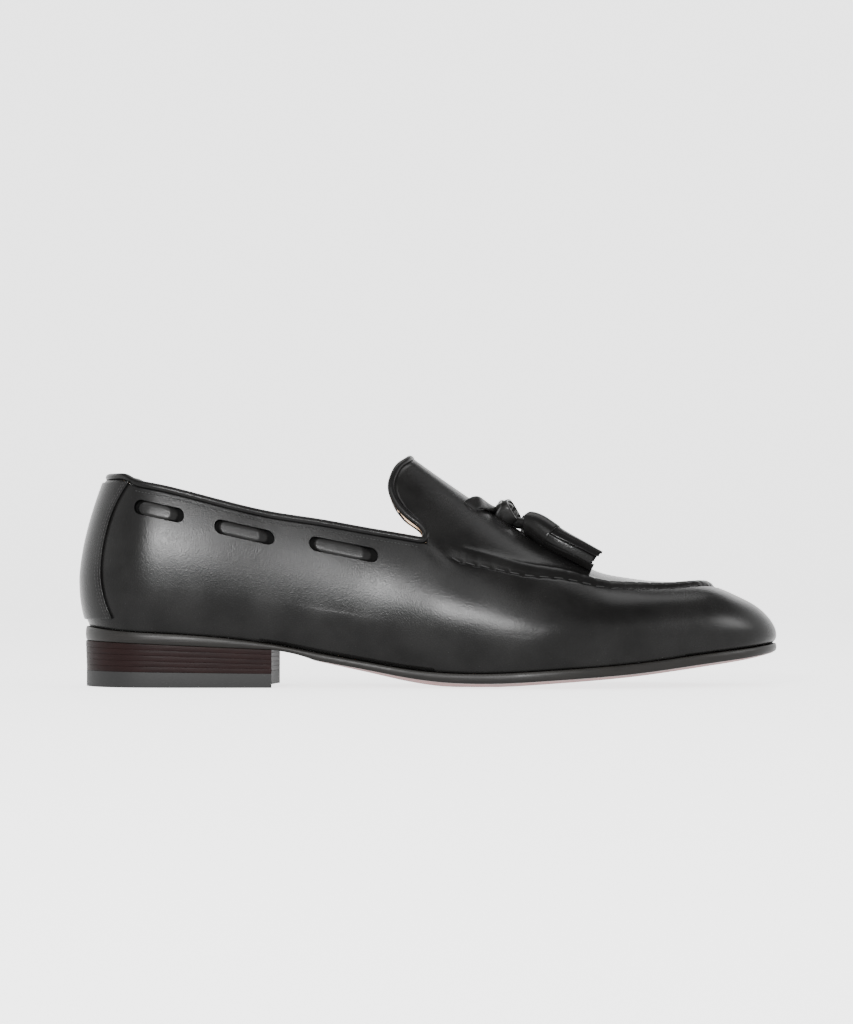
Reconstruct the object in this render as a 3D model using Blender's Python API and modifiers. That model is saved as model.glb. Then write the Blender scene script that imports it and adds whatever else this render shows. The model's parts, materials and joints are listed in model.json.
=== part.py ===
"""Tassel loafer for the right foot, standing empty on its sole.

+X runs to the toe, +Y to the inner side of the foot and +Z up. The origin is on the floor under
the middle of the heel's tread. Lengths are metres. The upper is worked out from a last whose
sections follow the table LAST: a belly outline in plan, a ridge over it and a roundness between.
"""

import math

import bmesh
import bpy
import numpy as np

MM = 0.001

# Driving sizes
SOLE_LENGTH = 300 * MM
BALL_WIDTH = 102 * MM
HEEL_WIDTH = 68 * MM
INSTEP_HEIGHT = 98.8 * MM
COLLAR_HEIGHT = 91.0 * MM
HEEL_SEAT_HEIGHT = 26 * MM
TOE_SPRING = 11.9 * MM
TOE_SWING = 7 * MM
TOE_DEPTH = 25 * MM
WALL = 2.0 * MM
GAP = 0.3 * MM
MERGE = 0.02 * MM

# Last and lasting
HEEL_OVERHANG = 2.2 * MM
HEEL_LEAN = 11 * MM
HEEL_BULGE_HEIGHT = 46 * MM
TOE_TUCK = 1.6 * MM
HEEL_TUCK = 3.4 * MM
WAIST_TUCK = 7 * MM
LASTING_MARGIN = 11 * MM
TUCK_ROUNDING = 0.9

# Sole and heel
SOLE_THICKNESS = 4.4 * MM
SOLE_CAMBER = 2.2 * MM
TREAD_PRESS = 1.2
SOLE_MARGIN = 1.6 * MM
HEEL_BREAST = 82 * MM
HEEL_REAR_DROP = 6.4 * MM
HEEL_PITCH = 3.7 * MM
BREAST_HOLLOW = 3 * MM
LIFT_COUNT = 5
LIFT_INSET = 0.5 * MM
TOP_LIFT_REAR = 6.9 * MM
TOP_LIFT_BREAST = 5.9 * MM
INSOLE_THICKNESS = 3 * MM

# Trim
SEAM_RISE = 1.3 * MM
SEAM_WIDTH = 4.6 * MM
TAB_REACH = 13.5 * MM
NOTCH_STATION = 0.4915
BINDING_RADIUS = 1.35 * MM
STRAP_THICKNESS = 1.0 * MM
LACE_RISE = 0.2 * MM
LACE_WIDTH = 4.6 * MM
LACE_THICKNESS = 1.8 * MM
WINDOW_LENGTH = 26 * MM
WINDOW_HEIGHT = 6.2 * MM
WINDOW_DEPTH = 1.1 * MM
WINDOW_DROP = 5.1 * MM
KNOT_SIZE = 11 * MM
KNOT_SHAPE = (0.98, 1.25, 0.92)
TASSEL_RADIUS = 5.8 * MM
TASSEL_STRIPS = 9
STRIP_DEPTH = 1.1 * MM

# Columns: share of the sole's length, the width that the row follows, its lateral and medial halves as
# shares of that width, height of the belly as a share of HEEL_BULGE_HEIGHT, height of the ridge as a
# share of INSTEP_HEIGHT, and how far the section is drawn in towards its ridge
LAST = (
    (None, HEEL_WIDTH, 0.0, 0.0, 1.0, 1.47, 0.25),
    (0.02, HEEL_WIDTH, 0.315, 0.315, 1.0, 1.47, 0.25),
    (0.07, HEEL_WIDTH, 0.465, 0.460, 0.98, 1.47, 0.25),
    (0.13, HEEL_WIDTH, 0.500, 0.495, 0.93, 1.46, 0.25),
    (0.20, HEEL_WIDTH, 0.505, 0.500, 0.87, 1.42, 0.25),
    (0.28, HEEL_WIDTH, 0.505, 0.495, 0.79, 1.34, 0.25),
    (0.36, HEEL_WIDTH, 0.520, 0.500, 0.70, 1.235, 0.25),
    (0.4357, BALL_WIDTH, 0.368, 0.350, 0.62, 1.078, 0.24),
    (0.497, BALL_WIDTH, 0.405, 0.375, 0.56, 0.942, 0.22),
    (0.555, BALL_WIDTH, 0.440, 0.410, 0.51, 0.819, 0.18),
    (0.599, BALL_WIDTH, 0.468, 0.440, 0.48, 0.731, 0.14),
    (0.642, BALL_WIDTH, 0.486, 0.470, 0.45, 0.652, 0.08),
    (0.686, BALL_WIDTH, 0.493, 0.492, 0.445, 0.582, 0.0),
    (0.741, BALL_WIDTH, 0.483, 0.500, 0.45, 0.497, -0.07),
    (0.776, BALL_WIDTH, 0.465, 0.490, 0.455, 0.4745, -0.13),
    (0.811, BALL_WIDTH, 0.438, 0.468, 0.46, 0.460, -0.17),
    (0.845, BALL_WIDTH, 0.402, 0.435, 0.465, 0.454, -0.19),
    (0.892, BALL_WIDTH, 0.350, 0.380, 0.47, 0.4475, -0.2),
    (0.938, BALL_WIDTH, 0.280, 0.306, 0.47, 0.3985, -0.18),
    (0.966, BALL_WIDTH, 0.215, 0.235, 0.47, 0.3560, -0.14),
    (0.988, BALL_WIDTH, 0.130, 0.143, 0.47, 0.2990, -0.1),
    (1.0, BALL_WIDTH, 0.0, 0.0, 0.47, 0.2190, -0.1),
)

# Columns: share of the sole's length, drop of the sole's top from the seat to the ball as a share, rise
# towards the toe as a share of TOE_SPRING, edge thickness as a share of SOLE_THICKNESS, camber share
SOLE = (
    (0.0, 1.0, 0.0, 1.45, 0.0),
    (0.048, 0.907, 0.0, 1.38, 0.0),
    (0.136, 0.825, 0.0, 1.25, 0.0),
    (0.206, 0.742, 0.0, 1.12, 0.0),
    (0.283, 0.582, 0.0, 0.86, 0.05),
    (0.347, 0.392, 0.0, 0.78, 0.35),
    (0.417, 0.196, 0.0, 0.80, 0.65),
    (0.453, 0.098, 0.0, 0.84, 0.8),
    (0.513, 0.0, 0.0, 0.94, 1.0),
    (0.602, 0.0, 0.0, 1.0, 1.0),
    (0.676, 0.0, 0.118, 1.0, 1.0),
    (0.787, 0.0, 0.345, 1.0, 0.95),
    (0.898, 0.0, 0.689, 0.98, 0.8),
    (0.962, 0.0, 0.866, 0.9, 0.5),
    (1.0, 0.0, 1.0, 0.8, 0.2),
)

# Columns: share of the sole's length, height of the collar's edge as a share of COLLAR_HEIGHT
COLLAR = (
    (-0.012, 1.005), (0.018, 1.0), (0.034, 0.996), (0.052, 0.975), (0.09, 0.948), (0.157, 0.902),
    (0.218, 0.853), (0.278, 0.811), (0.337, 0.782), (0.395, 0.748), (0.454, 0.715), (0.4915, 0.694),
)

# Columns: share of the half section's width out from the ridge, reach back as a share of TAB_REACH
TAB = (
    (0.0, 0.395), (0.15, 0.465), (0.26, 0.58), (0.39, 0.80), (0.51, 0.965), (0.595, 1.0), (0.64, 0.89),
    (0.668, 0.73), (0.70, 0.36), (0.735, 0.06), (0.78, 0.0), (1.0, 0.0),
)

# Columns: share of the sole's length, share of the half section's width where the apron's seam runs
APRON = (
    (0.529, 0.828), (0.565, 0.815), (0.623, 0.785), (0.70, 0.715), (0.76, 0.665), (0.82, 0.635),
    (0.88, 0.60), (0.94, 0.555), (1.0, 0.505),
)

# Columns: height as a share of COLLAR_HEIGHT, half width of the back strap as a share of HEEL_WIDTH
BACK_STRAP = (
    (0.32, 0.234), (0.39, 0.203), (0.47, 0.180), (0.57, 0.168), (0.73, 0.170), (0.87, 0.20), (0.96, 0.25),
)

# Columns: centre of each lace window as a share of the sole's length, its slope, its length as a share of
# WINDOW_LENGTH
WINDOWS = ((0.106, -0.20, 0.91), (0.234, -0.22, 1.0), (0.3745, -0.20, 1.12))

# Columns: share of the sole's length, share of the half section's width, height of the lace's middle
# over the vamp as a share of KNOT_SIZE
LACE_ROUTE = (
    (0.553, 0.33, 0.17), (0.560, 0.27, 0.24), (0.568, 0.20, 0.32), (0.575, 0.13, 0.42), (0.5805, 0.07, 0.46),
)

# Columns: share of the sole's length, share of the half section's width, radius as a share of
# TASSEL_RADIUS, depth of the slits between the strips as a share of STRIP_DEPTH
TASSEL = (
    (0.6170, 0.095, 0.33, 0.0), (0.6220, 0.120, 0.36, 0.0), (0.6240, 0.130, 0.82, 0.0),
    (0.6290, 0.155, 0.95, 0.0), (0.6550, 0.250, 1.02, 0.0), (0.6565, 0.255, 0.90, 0.6),
    (0.6750, 0.300, 0.98, 1.0), (0.6950, 0.325, 0.90, 1.0), (0.7120, 0.340, 0.76, 1.0),
)
KNOT_STATION = 0.6015

LATERAL = -1
MEDIAL = 1
SIDE_NAMES = {LATERAL: "lateral", MEDIAL: "medial"}
LAST_BACK = -HEEL_OVERHANG
LAST_LENGTH = SOLE_LENGTH + HEEL_OVERHANG
HEEL_CENTRE = HEEL_BREAST / 2
POLE_SETBACK = 55 / 300 * SOLE_LENGTH


def clear_scene():
    """Take out whatever the new scene holds."""
    for old in list(bpy.data.objects):
        bpy.data.objects.remove(old)


def smooth(xs, ys, at):
    """A natural cubic spline through the points (xs, ys), read at the places at."""
    xs = np.asarray(xs, float)
    ys = np.asarray(ys, float)
    n = len(xs)
    step = np.diff(xs)
    slope = np.diff(ys) / step
    m = np.eye(n)
    rhs = np.zeros(n)
    for i in range(1, n - 1):
        m[i, i - 1:i + 2] = step[i - 1], 2 * (step[i - 1] + step[i]), step[i]
        rhs[i] = 6 * (slope[i] - slope[i - 1])
    bend = np.linalg.solve(m, rhs)
    at = np.clip(np.asarray(at, float), xs[0], xs[-1])
    i = np.clip(np.searchsorted(xs, at, side="right") - 1, 0, n - 2)
    a = at - xs[i]
    return (ys[i] + a * (slope[i] - step[i] * (2 * bend[i] + bend[i + 1]) / 6)
            + a ** 2 * bend[i] / 2 + a ** 3 * (bend[i + 1] - bend[i]) / (6 * step[i]))


def phi_at(x):
    """The angle that stands for a place along the last: 0 at the back and pi at the toe."""
    return np.arccos(np.clip(1 - 2 * (np.asarray(x, float) - LAST_BACK) / LAST_LENGTH, -1, 1))


def x_at(phi):
    return LAST_BACK + LAST_LENGTH * (1 - np.cos(phi)) / 2


LAST_PHI = [0.0 if row[0] is None else float(phi_at(row[0] * SOLE_LENGTH)) for row in LAST]


def column(table, key, at_x):
    """One column of a table by share of the sole's length, smoothly, at the places at_x."""
    return smooth([row[0] for row in table], [row[key] for row in table], np.asarray(at_x) / SOLE_LENGTH)


def half_width(phi, side):
    key = 2 if side == LATERAL else 3
    return np.maximum(smooth(LAST_PHI, [row[1] * row[key] for row in LAST], phi), 0)


def swing(x):
    """How far the last's middle line has turned to the inner side: nothing up to the waist."""
    t = np.clip((np.asarray(x) / SOLE_LENGTH - 0.5) / 0.5, 0, 1)
    return TOE_SWING * t ** 1.8


def belly_height(phi):
    return smooth(LAST_PHI, [row[4] * HEEL_BULGE_HEIGHT for row in LAST], phi)


def ridge_height(phi):
    return np.maximum(smooth(LAST_PHI, [row[5] * INSTEP_HEIGHT for row in LAST], phi), belly_height(phi))


def draw_in(phi):
    return smooth(LAST_PHI, [row[6] for row in LAST], phi)


def sole_top(x):
    """Height of the sole's top, where the upper's edge meets it."""
    ball = SOLE_THICKNESS + SOLE_CAMBER
    drop = column(SOLE, 1, x)
    rise = column(SOLE, 2, x)
    return ball + drop * (HEEL_SEAT_HEIGHT - ball) + rise * TOE_SPRING


def lean(points):
    """Carry the back of the upper forward, more the higher it is, and less away from the back seam."""
    out = np.array(points, float)
    up = np.clip((out[..., 2] - HEEL_BULGE_HEIGHT) / (COLLAR_HEIGHT - HEEL_BULGE_HEIGHT), 0, None)
    fade = 1 - np.clip((out[..., 0] - LAST_BACK) / (SOLE_LENGTH / 3), 0, 1)
    out[..., 0] += HEEL_LEAN * up ** 1.6 * fade ** 2
    return out


def over_belly(x, ratio, side):
    """Points of the last above its belly: at x, at ratio of the half width out from the ridge."""
    phi = phi_at(x)
    low = belly_height(phi)
    flat = np.clip(1 - ratio ** 2, 0, 1)
    z = low + (ridge_height(phi) - low) * np.sqrt(flat) * (1 - draw_in(phi) * ratio ** 2)
    y = swing(x) + side * half_width(phi, side) * ratio
    return np.stack(np.broadcast_arrays(x, y, z), axis=-1)


def outline(phi, side, inset):
    """Plan of the belly's outline, moved inwards along its own normal by inset."""
    d = 1e-3
    phi = np.asarray(phi, float)

    def bare(a):
        b = np.clip(a, 0, math.pi)
        x = x_at(b)
        y = swing(x) + side * half_width(b, side)
        return x, y

    x0, y0 = bare(phi - d)
    x1, y1 = bare(phi + d)
    dx = np.where((phi < d) | (phi > math.pi - d), 0.0, x1 - x0)
    dy = y1 - y0
    dy = np.where(phi < d, side * 1.0, np.where(phi > math.pi - d, -side * 1.0, dy))
    size = np.hypot(dx, dy)
    x, y = bare(phi)
    return x + side * inset * dy / size, y - side * inset * dx / size


def tuck(phi):
    """How far the upper's lower edge lies inside its belly."""
    s = x_at(phi) / SOLE_LENGTH
    waist = np.exp(-((s - 0.42) / 0.15) ** 2)
    ends = HEEL_TUCK + (TOE_TUCK - HEEL_TUCK) * np.clip((s - 0.3) / 0.5, 0, 1)
    return ends, waist


def edge_inset(phi, side):
    ends, waist = tuck(phi)
    reach = WAIST_TUCK * (1.0 if side == MEDIAL else 0.25)
    return ends + reach * waist


def under_belly(phi, t, side):
    """Points below the belly: t is 0 at the belly and 1 at the sole, rounded inwards."""
    curl = (1 - np.sqrt(1 - (TUCK_ROUNDING * t) ** 2)) / (1 - math.sqrt(1 - TUCK_ROUNDING ** 2))
    x, y = outline(phi, side, edge_inset(phi, side) * curl)
    low = sole_top(x) + GAP
    z = belly_height(phi) + t * (low - belly_height(phi))
    return np.stack(np.broadcast_arrays(x, y, z), axis=-1)


def turned_in(phi, reach, side):
    """Points of the lasting margin, reach inwards from the upper's lower edge."""
    x, y = outline(phi, side, edge_inset(phi, side) + reach)
    return np.stack(np.broadcast_arrays(x, y, sole_top(x) + GAP), axis=-1)


def ratio_at_height(x, z):
    """The share of the half width at which the section at x reaches the height z."""
    phi = phi_at(x)
    share = np.clip((z - belly_height(phi)) / (ridge_height(phi) - belly_height(phi)), 0, 1)
    low = np.zeros_like(share)
    high = np.ones_like(share)
    for _ in range(40):
        middle = (low + high) / 2
        over = np.sqrt(1 - middle ** 2) * (1 - draw_in(phi) * middle ** 2) > share
        low = np.where(over, middle, low)
        high = np.where(over, high, middle)
    return (low + high) / 2


def collar_edge(x):
    """Height of the wall's edge at the collar, under its rolled binding."""
    return column(COLLAR, 1, x) * COLLAR_HEIGHT - 2 * BINDING_RADIUS


def side_point(x, z, side, lift):
    """A point of the upper's side at x and height z, lifted off the wall along its normal."""
    d = 0.2 * MM
    x, z = np.broadcast_arrays(np.asarray(x, float), np.asarray(z, float))

    def bare(phi, height):
        place = x_at(phi)
        above = over_belly(place, ratio_at_height(place, height), side)
        low = sole_top(place) + GAP
        t = np.clip((belly_height(phi) - height) / (belly_height(phi) - low), 0, 1)
        below = under_belly(phi, t, side)
        return lean(np.where((height > belly_height(phi))[..., None], above, below))

    phi = phi_at(x)
    e = d / LAST_LENGTH
    p = bare(phi, z)
    along = bare(np.minimum(phi + e, math.pi), z) - bare(np.maximum(phi - e, 0), z)
    up = bare(phi, z + d) - bare(phi, z - d)
    normal = side * np.cross(up, along)
    back = (phi < 1e-6)[..., None]
    normal = np.where(back, normal * np.array([1, 0, 1]), normal)
    return p + lift * normal / np.linalg.norm(normal, axis=-1, keepdims=True)


def collection(name):
    made = bpy.data.collections.new(name)
    bpy.context.scene.collection.children.link(made)
    return made


def material(name, colour, roughness):
    made = bpy.data.materials.new(name)
    made.use_nodes = True
    made.diffuse_color = (*colour, 1)
    shader = made.node_tree.nodes["Principled BSDF"]
    shader.inputs["Base Color"].default_value = (*colour, 1)
    shader.inputs["Roughness"].default_value = roughness
    shader.inputs["Metallic"].default_value = 0.0
    return made


def grid_faces(rows, columns, wrap=False):
    """Quads over a grid of rows by columns of points, the columns joined in a ring if wrap."""
    faces = []
    for i in range(rows - 1):
        for j in range(columns if wrap else columns - 1):
            k = (j + 1) % columns
            faces.append((i * columns + j, i * columns + k, (i + 1) * columns + k, (i + 1) * columns + j))
    return faces


def mesh_object(name, pieces, finish, home, looks_wrong=None):
    """An object from pieces, each its points and faces; shared points are merged.

    An open surface gets looks_wrong, a test that says when its faces point to the wrong side.
    """
    work = bmesh.new()
    for points, faces in pieces:
        verts = [work.verts.new(p) for p in np.reshape(points, (-1, 3))]
        for face in faces:
            work.faces.new([verts[i] for i in face])
    bmesh.ops.remove_doubles(work, verts=work.verts, dist=MERGE)
    bmesh.ops.dissolve_degenerate(work, edges=work.edges, dist=1e-7)
    bmesh.ops.recalc_face_normals(work, faces=work.faces)
    if looks_wrong is not None and looks_wrong(work):
        bmesh.ops.reverse_faces(work, faces=work.faces)
    shape = bpy.data.meshes.new(name)
    work.to_mesh(shape)
    work.free()
    shape.shade_smooth()
    shape.set_sharp_from_angle(angle=math.radians(40))
    if finish is not None:
        shape.materials.append(finish)
    made = bpy.data.objects.new(name, shape)
    home.objects.link(made)
    made.location.x = -HEEL_CENTRE
    return made


def apron_ratio(x):
    """The seam's share of the half width, starting from the notch at the end of the collar."""
    start = NOTCH_STATION * SOLE_LENGTH
    notch = float(ratio_at_height(np.array(start), collar_edge(start)))
    return column(((NOTCH_STATION, notch), *APRON), 1, x)


def tab_reach(ratio):
    """How far the tab's edge lies back of the notch, at that share of the half width."""
    return TAB_REACH * smooth([row[0] for row in TAB], [row[1] for row in TAB], ratio)


def seam_lift(x):
    """Height of the apron's seam above the wall along its length: nothing beside the tab."""
    t = np.clip((x / SOLE_LENGTH - 0.515) / 0.03, 0, 1)
    return SEAM_RISE * t * t * (3 - 2 * t)


def vamp_grid(side, columns, low_rows, high_rows):
    """The vamp from its belly to the ridge, columns fanning forward round the toe.

    Rows below the apron's seam run between the belly and the seam, then the seam's roll, then
    rows up to the ridge. The first column follows the tab's edge above the notch.
    """
    start = NOTCH_STATION * SOLE_LENGTH
    phi = np.linspace(float(phi_at(start)), math.pi, columns)
    x_out = x_at(phi)
    x_in = x_out - POLE_SETBACK * ((x_out - start) / (SOLE_LENGTH - start)) ** 2
    seam = np.arccos(apron_ratio(x_out))
    low = np.linspace(0, 1, low_rows)
    turn = [seam * t for t in low]
    lift = [np.zeros(columns) for _ in low]
    band = SEAM_WIDTH / (0.8 * TOE_DEPTH * 2)
    for step, rise in ((0.12, 0.85), (0.5, 1.0), (1.0, 0.35)):
        turn.append(seam + band * step)
        lift.append(seam_lift(x_out) * rise)
    first = seam + band
    for t in np.linspace(0, 1, high_rows + 1)[1:]:
        turn.append(first + (math.pi / 2 - first) * t)
        lift.append(seam_lift(x_out) * 0.35 * (1 - t) ** 2)
    turn = np.array(turn)
    lift = np.array(lift)
    out = np.cos(turn)
    out[-1] = 0.0
    x = x_in + (x_out - x_in) * out
    edge = -tab_reach(out[:, :1])
    edge[:low_rows] = 0
    fade = np.clip(1 - (x_out - start) / (0.12 * SOLE_LENGTH), 0, 1) ** 2
    x = x + edge * fade
    wide = half_width(phi_at(x), side)
    ratio = np.where(wide > 1e-6, out * half_width(phi, side) / np.maximum(wide, 1e-6), 0)
    ratio = np.where(x_out < start + 0.12 * SOLE_LENGTH, out, ratio)
    ratio = np.clip(ratio, 0, 1)
    points = over_belly(x, ratio, side)
    points[..., 2] += lift
    return phi, lean(points)


def quarter_grid(side, columns, rows):
    """The quarter from the back seam to the notch, and from its belly to the collar's edge."""
    start = NOTCH_STATION * SOLE_LENGTH
    phi = np.linspace(0, float(phi_at(start)), columns)
    x = x_at(phi)
    top = ratio_at_height(x, collar_edge(x))
    top[-1] = apron_ratio(start)
    turn = np.linspace(0, 1, rows)[:, None] * np.arccos(top)
    return phi, lean(over_belly(np.broadcast_to(x, turn.shape), np.cos(turn), side))


def lower_grid(phi, side):
    """From the belly down round the lower edge and in under the foot."""
    rows = [under_belly(phi, t, side) for t in (0.0, 0.35, 0.65, 0.87, 1.0)]
    rows += [turned_in(phi, reach, side) for reach in (0.4 * LASTING_MARGIN, LASTING_MARGIN)]
    return lean(np.array(rows))


def upper_surface(quarter_columns, vamp_columns, low_rows, high_rows):
    """Pieces of the upper's outer skin, both sides."""
    pieces = []
    for side in (LATERAL, MEDIAL):
        for grid in (quarter_grid(side, quarter_columns, low_rows),
                     vamp_grid(side, vamp_columns, low_rows, high_rows)):
            phi, points = grid
            pieces.append((points, grid_faces(*points.shape[:2])))
            low = lower_grid(phi, side)
            pieces.append((low, grid_faces(*low.shape[:2])))
    return pieces


def faces_inward(work):
    """Whether the face furthest to the side looks to the middle."""
    face = max(work.faces, key=lambda f: f.calc_center_median().y)
    return face.normal.y < 0


def thicken(piece, thickness, offset):
    shell = piece.modifiers.new("wall", "SOLIDIFY")
    shell.thickness = thickness
    shell.offset = offset
    shell.use_even_offset = True
    return shell


def make_upper(finish, home, cutters):
    pieces = upper_surface(17, 23, 6, 6)
    upper = mesh_object("upper", pieces, finish, home, faces_inward)
    thicken(upper, WALL, -1)
    for i, cutter in enumerate(cutters):
        cut = upper.modifiers.new(f"window_{i + 1}", "BOOLEAN")
        cut.operation = "DIFFERENCE"
        cut.object = cutter
        cut.solver = "EXACT"
    return upper


def ruled_solid(name, phi, inset, bottom, top, finish, home, across=(-1, 1), side_bulge=0.0):
    """A closed solid between the two sides' outlines, its bottom and top given as heights by x and e.

    e runs from -1 at the lateral edge to 1 at the medial one.
    """
    e = np.array(across, float)
    left = np.stack(outline(phi, LATERAL, inset(phi, LATERAL)), axis=-1)
    right = np.stack(outline(phi, MEDIAL, inset(phi, MEDIAL)), axis=-1)
    t = (e[None, :, None] + 1) / 2
    plan = left[:, None, :] * (1 - t) + right[:, None, :] * t
    x = plan[..., 0]
    low = np.concatenate([plan, bottom(x, e[None, :] + 0 * x)[..., None]], axis=-1)
    high = np.concatenate([plan, top(x, e[None, :] + 0 * x)[..., None]], axis=-1)
    pieces = [(low, grid_faces(*low.shape[:2])), (high, grid_faces(*high.shape[:2]))]
    for edge in (0, -1):
        wall = np.stack([low[:, edge], high[:, edge]])
        pieces.append((wall, grid_faces(*wall.shape[:2])))
    for end in (0, -1):
        wall = np.stack([low[end], high[end]])
        if np.ptp(plan[end, :, 1]) > 1e-6:
            pieces.append((wall, grid_faces(*wall.shape[:2])))
    return mesh_object(name, pieces, finish, home)


def sole_inset(phi, side):
    return edge_inset(phi, side) - SOLE_MARGIN


def sole_bottom(x, e):
    """Underside of the outsole: a straight ramp over the heel, cambered and flat in the middle ahead."""
    edge = sole_top(x) - SOLE_THICKNESS * column(SOLE, 3, x)
    camber = TREAD_PRESS * SOLE_CAMBER * column(SOLE, 4, x)
    free = np.maximum(edge - camber * (1 - np.abs(e) ** 2.2), 0)
    ramp = HEEL_SEAT_HEIGHT - HEEL_REAR_DROP - HEEL_PITCH * x / HEEL_BREAST
    ahead = np.clip((x - HEEL_BREAST) / (0.06 * SOLE_LENGTH), 0, 1)
    return ramp * (1 - ahead) + free * ahead


def make_outsole(finish, home):
    breast = float(phi_at(HEEL_BREAST))
    phi = np.concatenate([np.linspace(0, breast, 13)[:-1], np.linspace(breast, math.pi, 27)])
    across = (-1, -0.85, -0.6, -0.3, 0, 0.3, 0.6, 0.85, 1)
    return ruled_solid("outsole", phi, sole_inset, sole_bottom, lambda x, e: sole_top(x), finish, home, across)


def heel_solid(name, level_low, level_high, inset_by, finish, home):
    """One layer of the heel, between two tilted planes, ending at the hollow breast."""
    across = np.linspace(-1, 1, 5)
    stop = float(phi_at(HEEL_BREAST))
    phi = np.linspace(0, stop, 13)

    def inset(a, side):
        return sole_inset(a, side) + inset_by

    def hollow(points):
        depth = np.clip(points[..., 0] / HEEL_BREAST, 0, 1) ** 2
        e = np.broadcast_to(across, points.shape[:-1])
        points[..., 0] -= BREAST_HOLLOW * depth * (1 - e ** 2)
        return points

    left = np.stack(outline(phi, LATERAL, inset(phi, LATERAL)), axis=-1)
    right = np.stack(outline(phi, MEDIAL, inset(phi, MEDIAL)), axis=-1)
    t = (across[None, :, None] + 1) / 2
    plan = hollow(left[:, None, :] * (1 - t) + right[:, None, :] * t)
    low = np.concatenate([plan, level_low(plan[..., 0])[..., None]], axis=-1)
    high = np.concatenate([plan, level_high(plan[..., 0])[..., None]], axis=-1)
    pieces = [(low, grid_faces(*low.shape[:2])), (high, grid_faces(*high.shape[:2]))]
    for wall in (np.stack([low[:, 0], high[:, 0]]), np.stack([low[:, -1], high[:, -1]]),
                 np.stack([low[-1], high[-1]])):
        pieces.append((wall, grid_faces(*wall.shape[:2])))
    return mesh_object(name, pieces, finish, home)


def make_heel(stack_finish, rubber, home):
    def plane(rear, front):
        return lambda x: rear + (front - rear) * x / HEEL_BREAST

    seat_rear = HEEL_SEAT_HEIGHT - HEEL_REAR_DROP - GAP
    seat_front = seat_rear - HEEL_PITCH
    heel_solid("top_lift", lambda x: 0 * x, plane(TOP_LIFT_REAR - GAP, TOP_LIFT_BREAST - GAP),
               LIFT_INSET, rubber, home)
    for i in range(LIFT_COUNT):
        a = i / LIFT_COUNT
        b = (i + 1) / LIFT_COUNT
        low = plane(TOP_LIFT_REAR * (1 - a) + seat_rear * a, TOP_LIFT_BREAST * (1 - a) + seat_front * a)
        gap = GAP if i < LIFT_COUNT - 1 else 0.0
        high = plane(TOP_LIFT_REAR * (1 - b) + seat_rear * b - gap,
                     TOP_LIFT_BREAST * (1 - b) + seat_front * b - gap)
        heel_solid(f"heel_lift_{i + 1}", low, high, LIFT_INSET * (1 - a), stack_finish, home)


def make_insole(finish, home):
    def inset(phi, side):
        return edge_inset(phi, side) + WALL + 2 * GAP

    phi = np.linspace(0, math.pi, 33)
    lift = WALL + 3 * GAP
    return ruled_solid("insole", phi, inset, lambda x, e: sole_top(x) + lift,
                       lambda x, e: sole_top(x) + lift + INSOLE_THICKNESS, finish, home, (-1, 0, 1))


def ring_tube(points, radius, sides, squash=1.0):
    """A closed tube along points, its frame carried without twist; radius may vary along it."""
    points = np.asarray(points, float)
    radius = np.broadcast_to(radius, len(points))
    way = np.gradient(points, axis=0)
    way /= np.linalg.norm(way, axis=1, keepdims=True)
    up = np.array([0.0, 0.0, 1.0])
    rings = []
    for p, w, r in zip(points, way, radius):
        across = np.cross(w, up)
        across /= np.linalg.norm(across)
        over = np.cross(across, w)
        turn = np.arange(sides) * 2 * math.pi / sides
        ring = p + r * (np.cos(turn)[:, None] * across + squash * np.sin(turn)[:, None] * over)
        rings.append(ring)
    rings = np.array(rings)
    faces = grid_faces(len(points), sides, wrap=True)
    faces.append(tuple(range(sides)))
    faces.append(tuple(range((len(points) - 1) * sides, len(points) * sides)))
    return rings, faces


def make_collar_binding(finish, home):
    """The rolled edge of the collar, from notch to notch round the back."""
    stop = (NOTCH_STATION - 0.012) * SOLE_LENGTH
    phi = np.linspace(0, float(phi_at(stop)), 24)
    x = x_at(phi)
    height = collar_edge(x) + GAP + BINDING_RADIUS
    middle = -WALL / 2
    lateral = side_point(x, height, LATERAL, middle)[::-1]
    medial = side_point(x, height, MEDIAL, middle)
    lateral[-1, 1] = 0
    points, faces = ring_tube(np.concatenate([lateral, medial[1:]]), BINDING_RADIUS, 8)
    return mesh_object("collar_binding", [(points, faces)], finish, home)


def make_tab_binding(finish, home):
    """The rolled edge of the tab, over the instep from notch to notch."""
    start = NOTCH_STATION * SOLE_LENGTH
    ratio = np.cos(np.linspace(math.acos(apron_ratio(start) - 0.06), math.pi / 2, 18))
    ratio[-1] = 0.0
    x = start - tab_reach(ratio)
    sides = []
    for side in (LATERAL, MEDIAL):
        edge = lean(over_belly(x, ratio, side))
        way = np.gradient(edge, axis=0)
        back = lean(over_belly(x - MM, ratio, side)) - edge
        normal = np.cross(way, back)
        normal *= np.where(normal[:, 2:] < 0, -1, 1) / np.linalg.norm(normal, axis=1, keepdims=True)
        away = np.cross(normal, way)
        away *= np.sign((away * back).sum(axis=1, keepdims=True))
        away /= np.linalg.norm(away, axis=1, keepdims=True)
        path = edge + (BINDING_RADIUS + 1.5 * GAP) * away - WALL / 2 * normal
        path[-1, 1] = swing(x[-1])
        sides.append(path)
    points, faces = ring_tube(np.concatenate([sides[0], sides[1][::-1][1:]]), BINDING_RADIUS, 8)
    return mesh_object("tab_binding", [(points, faces)], finish, home)


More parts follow.
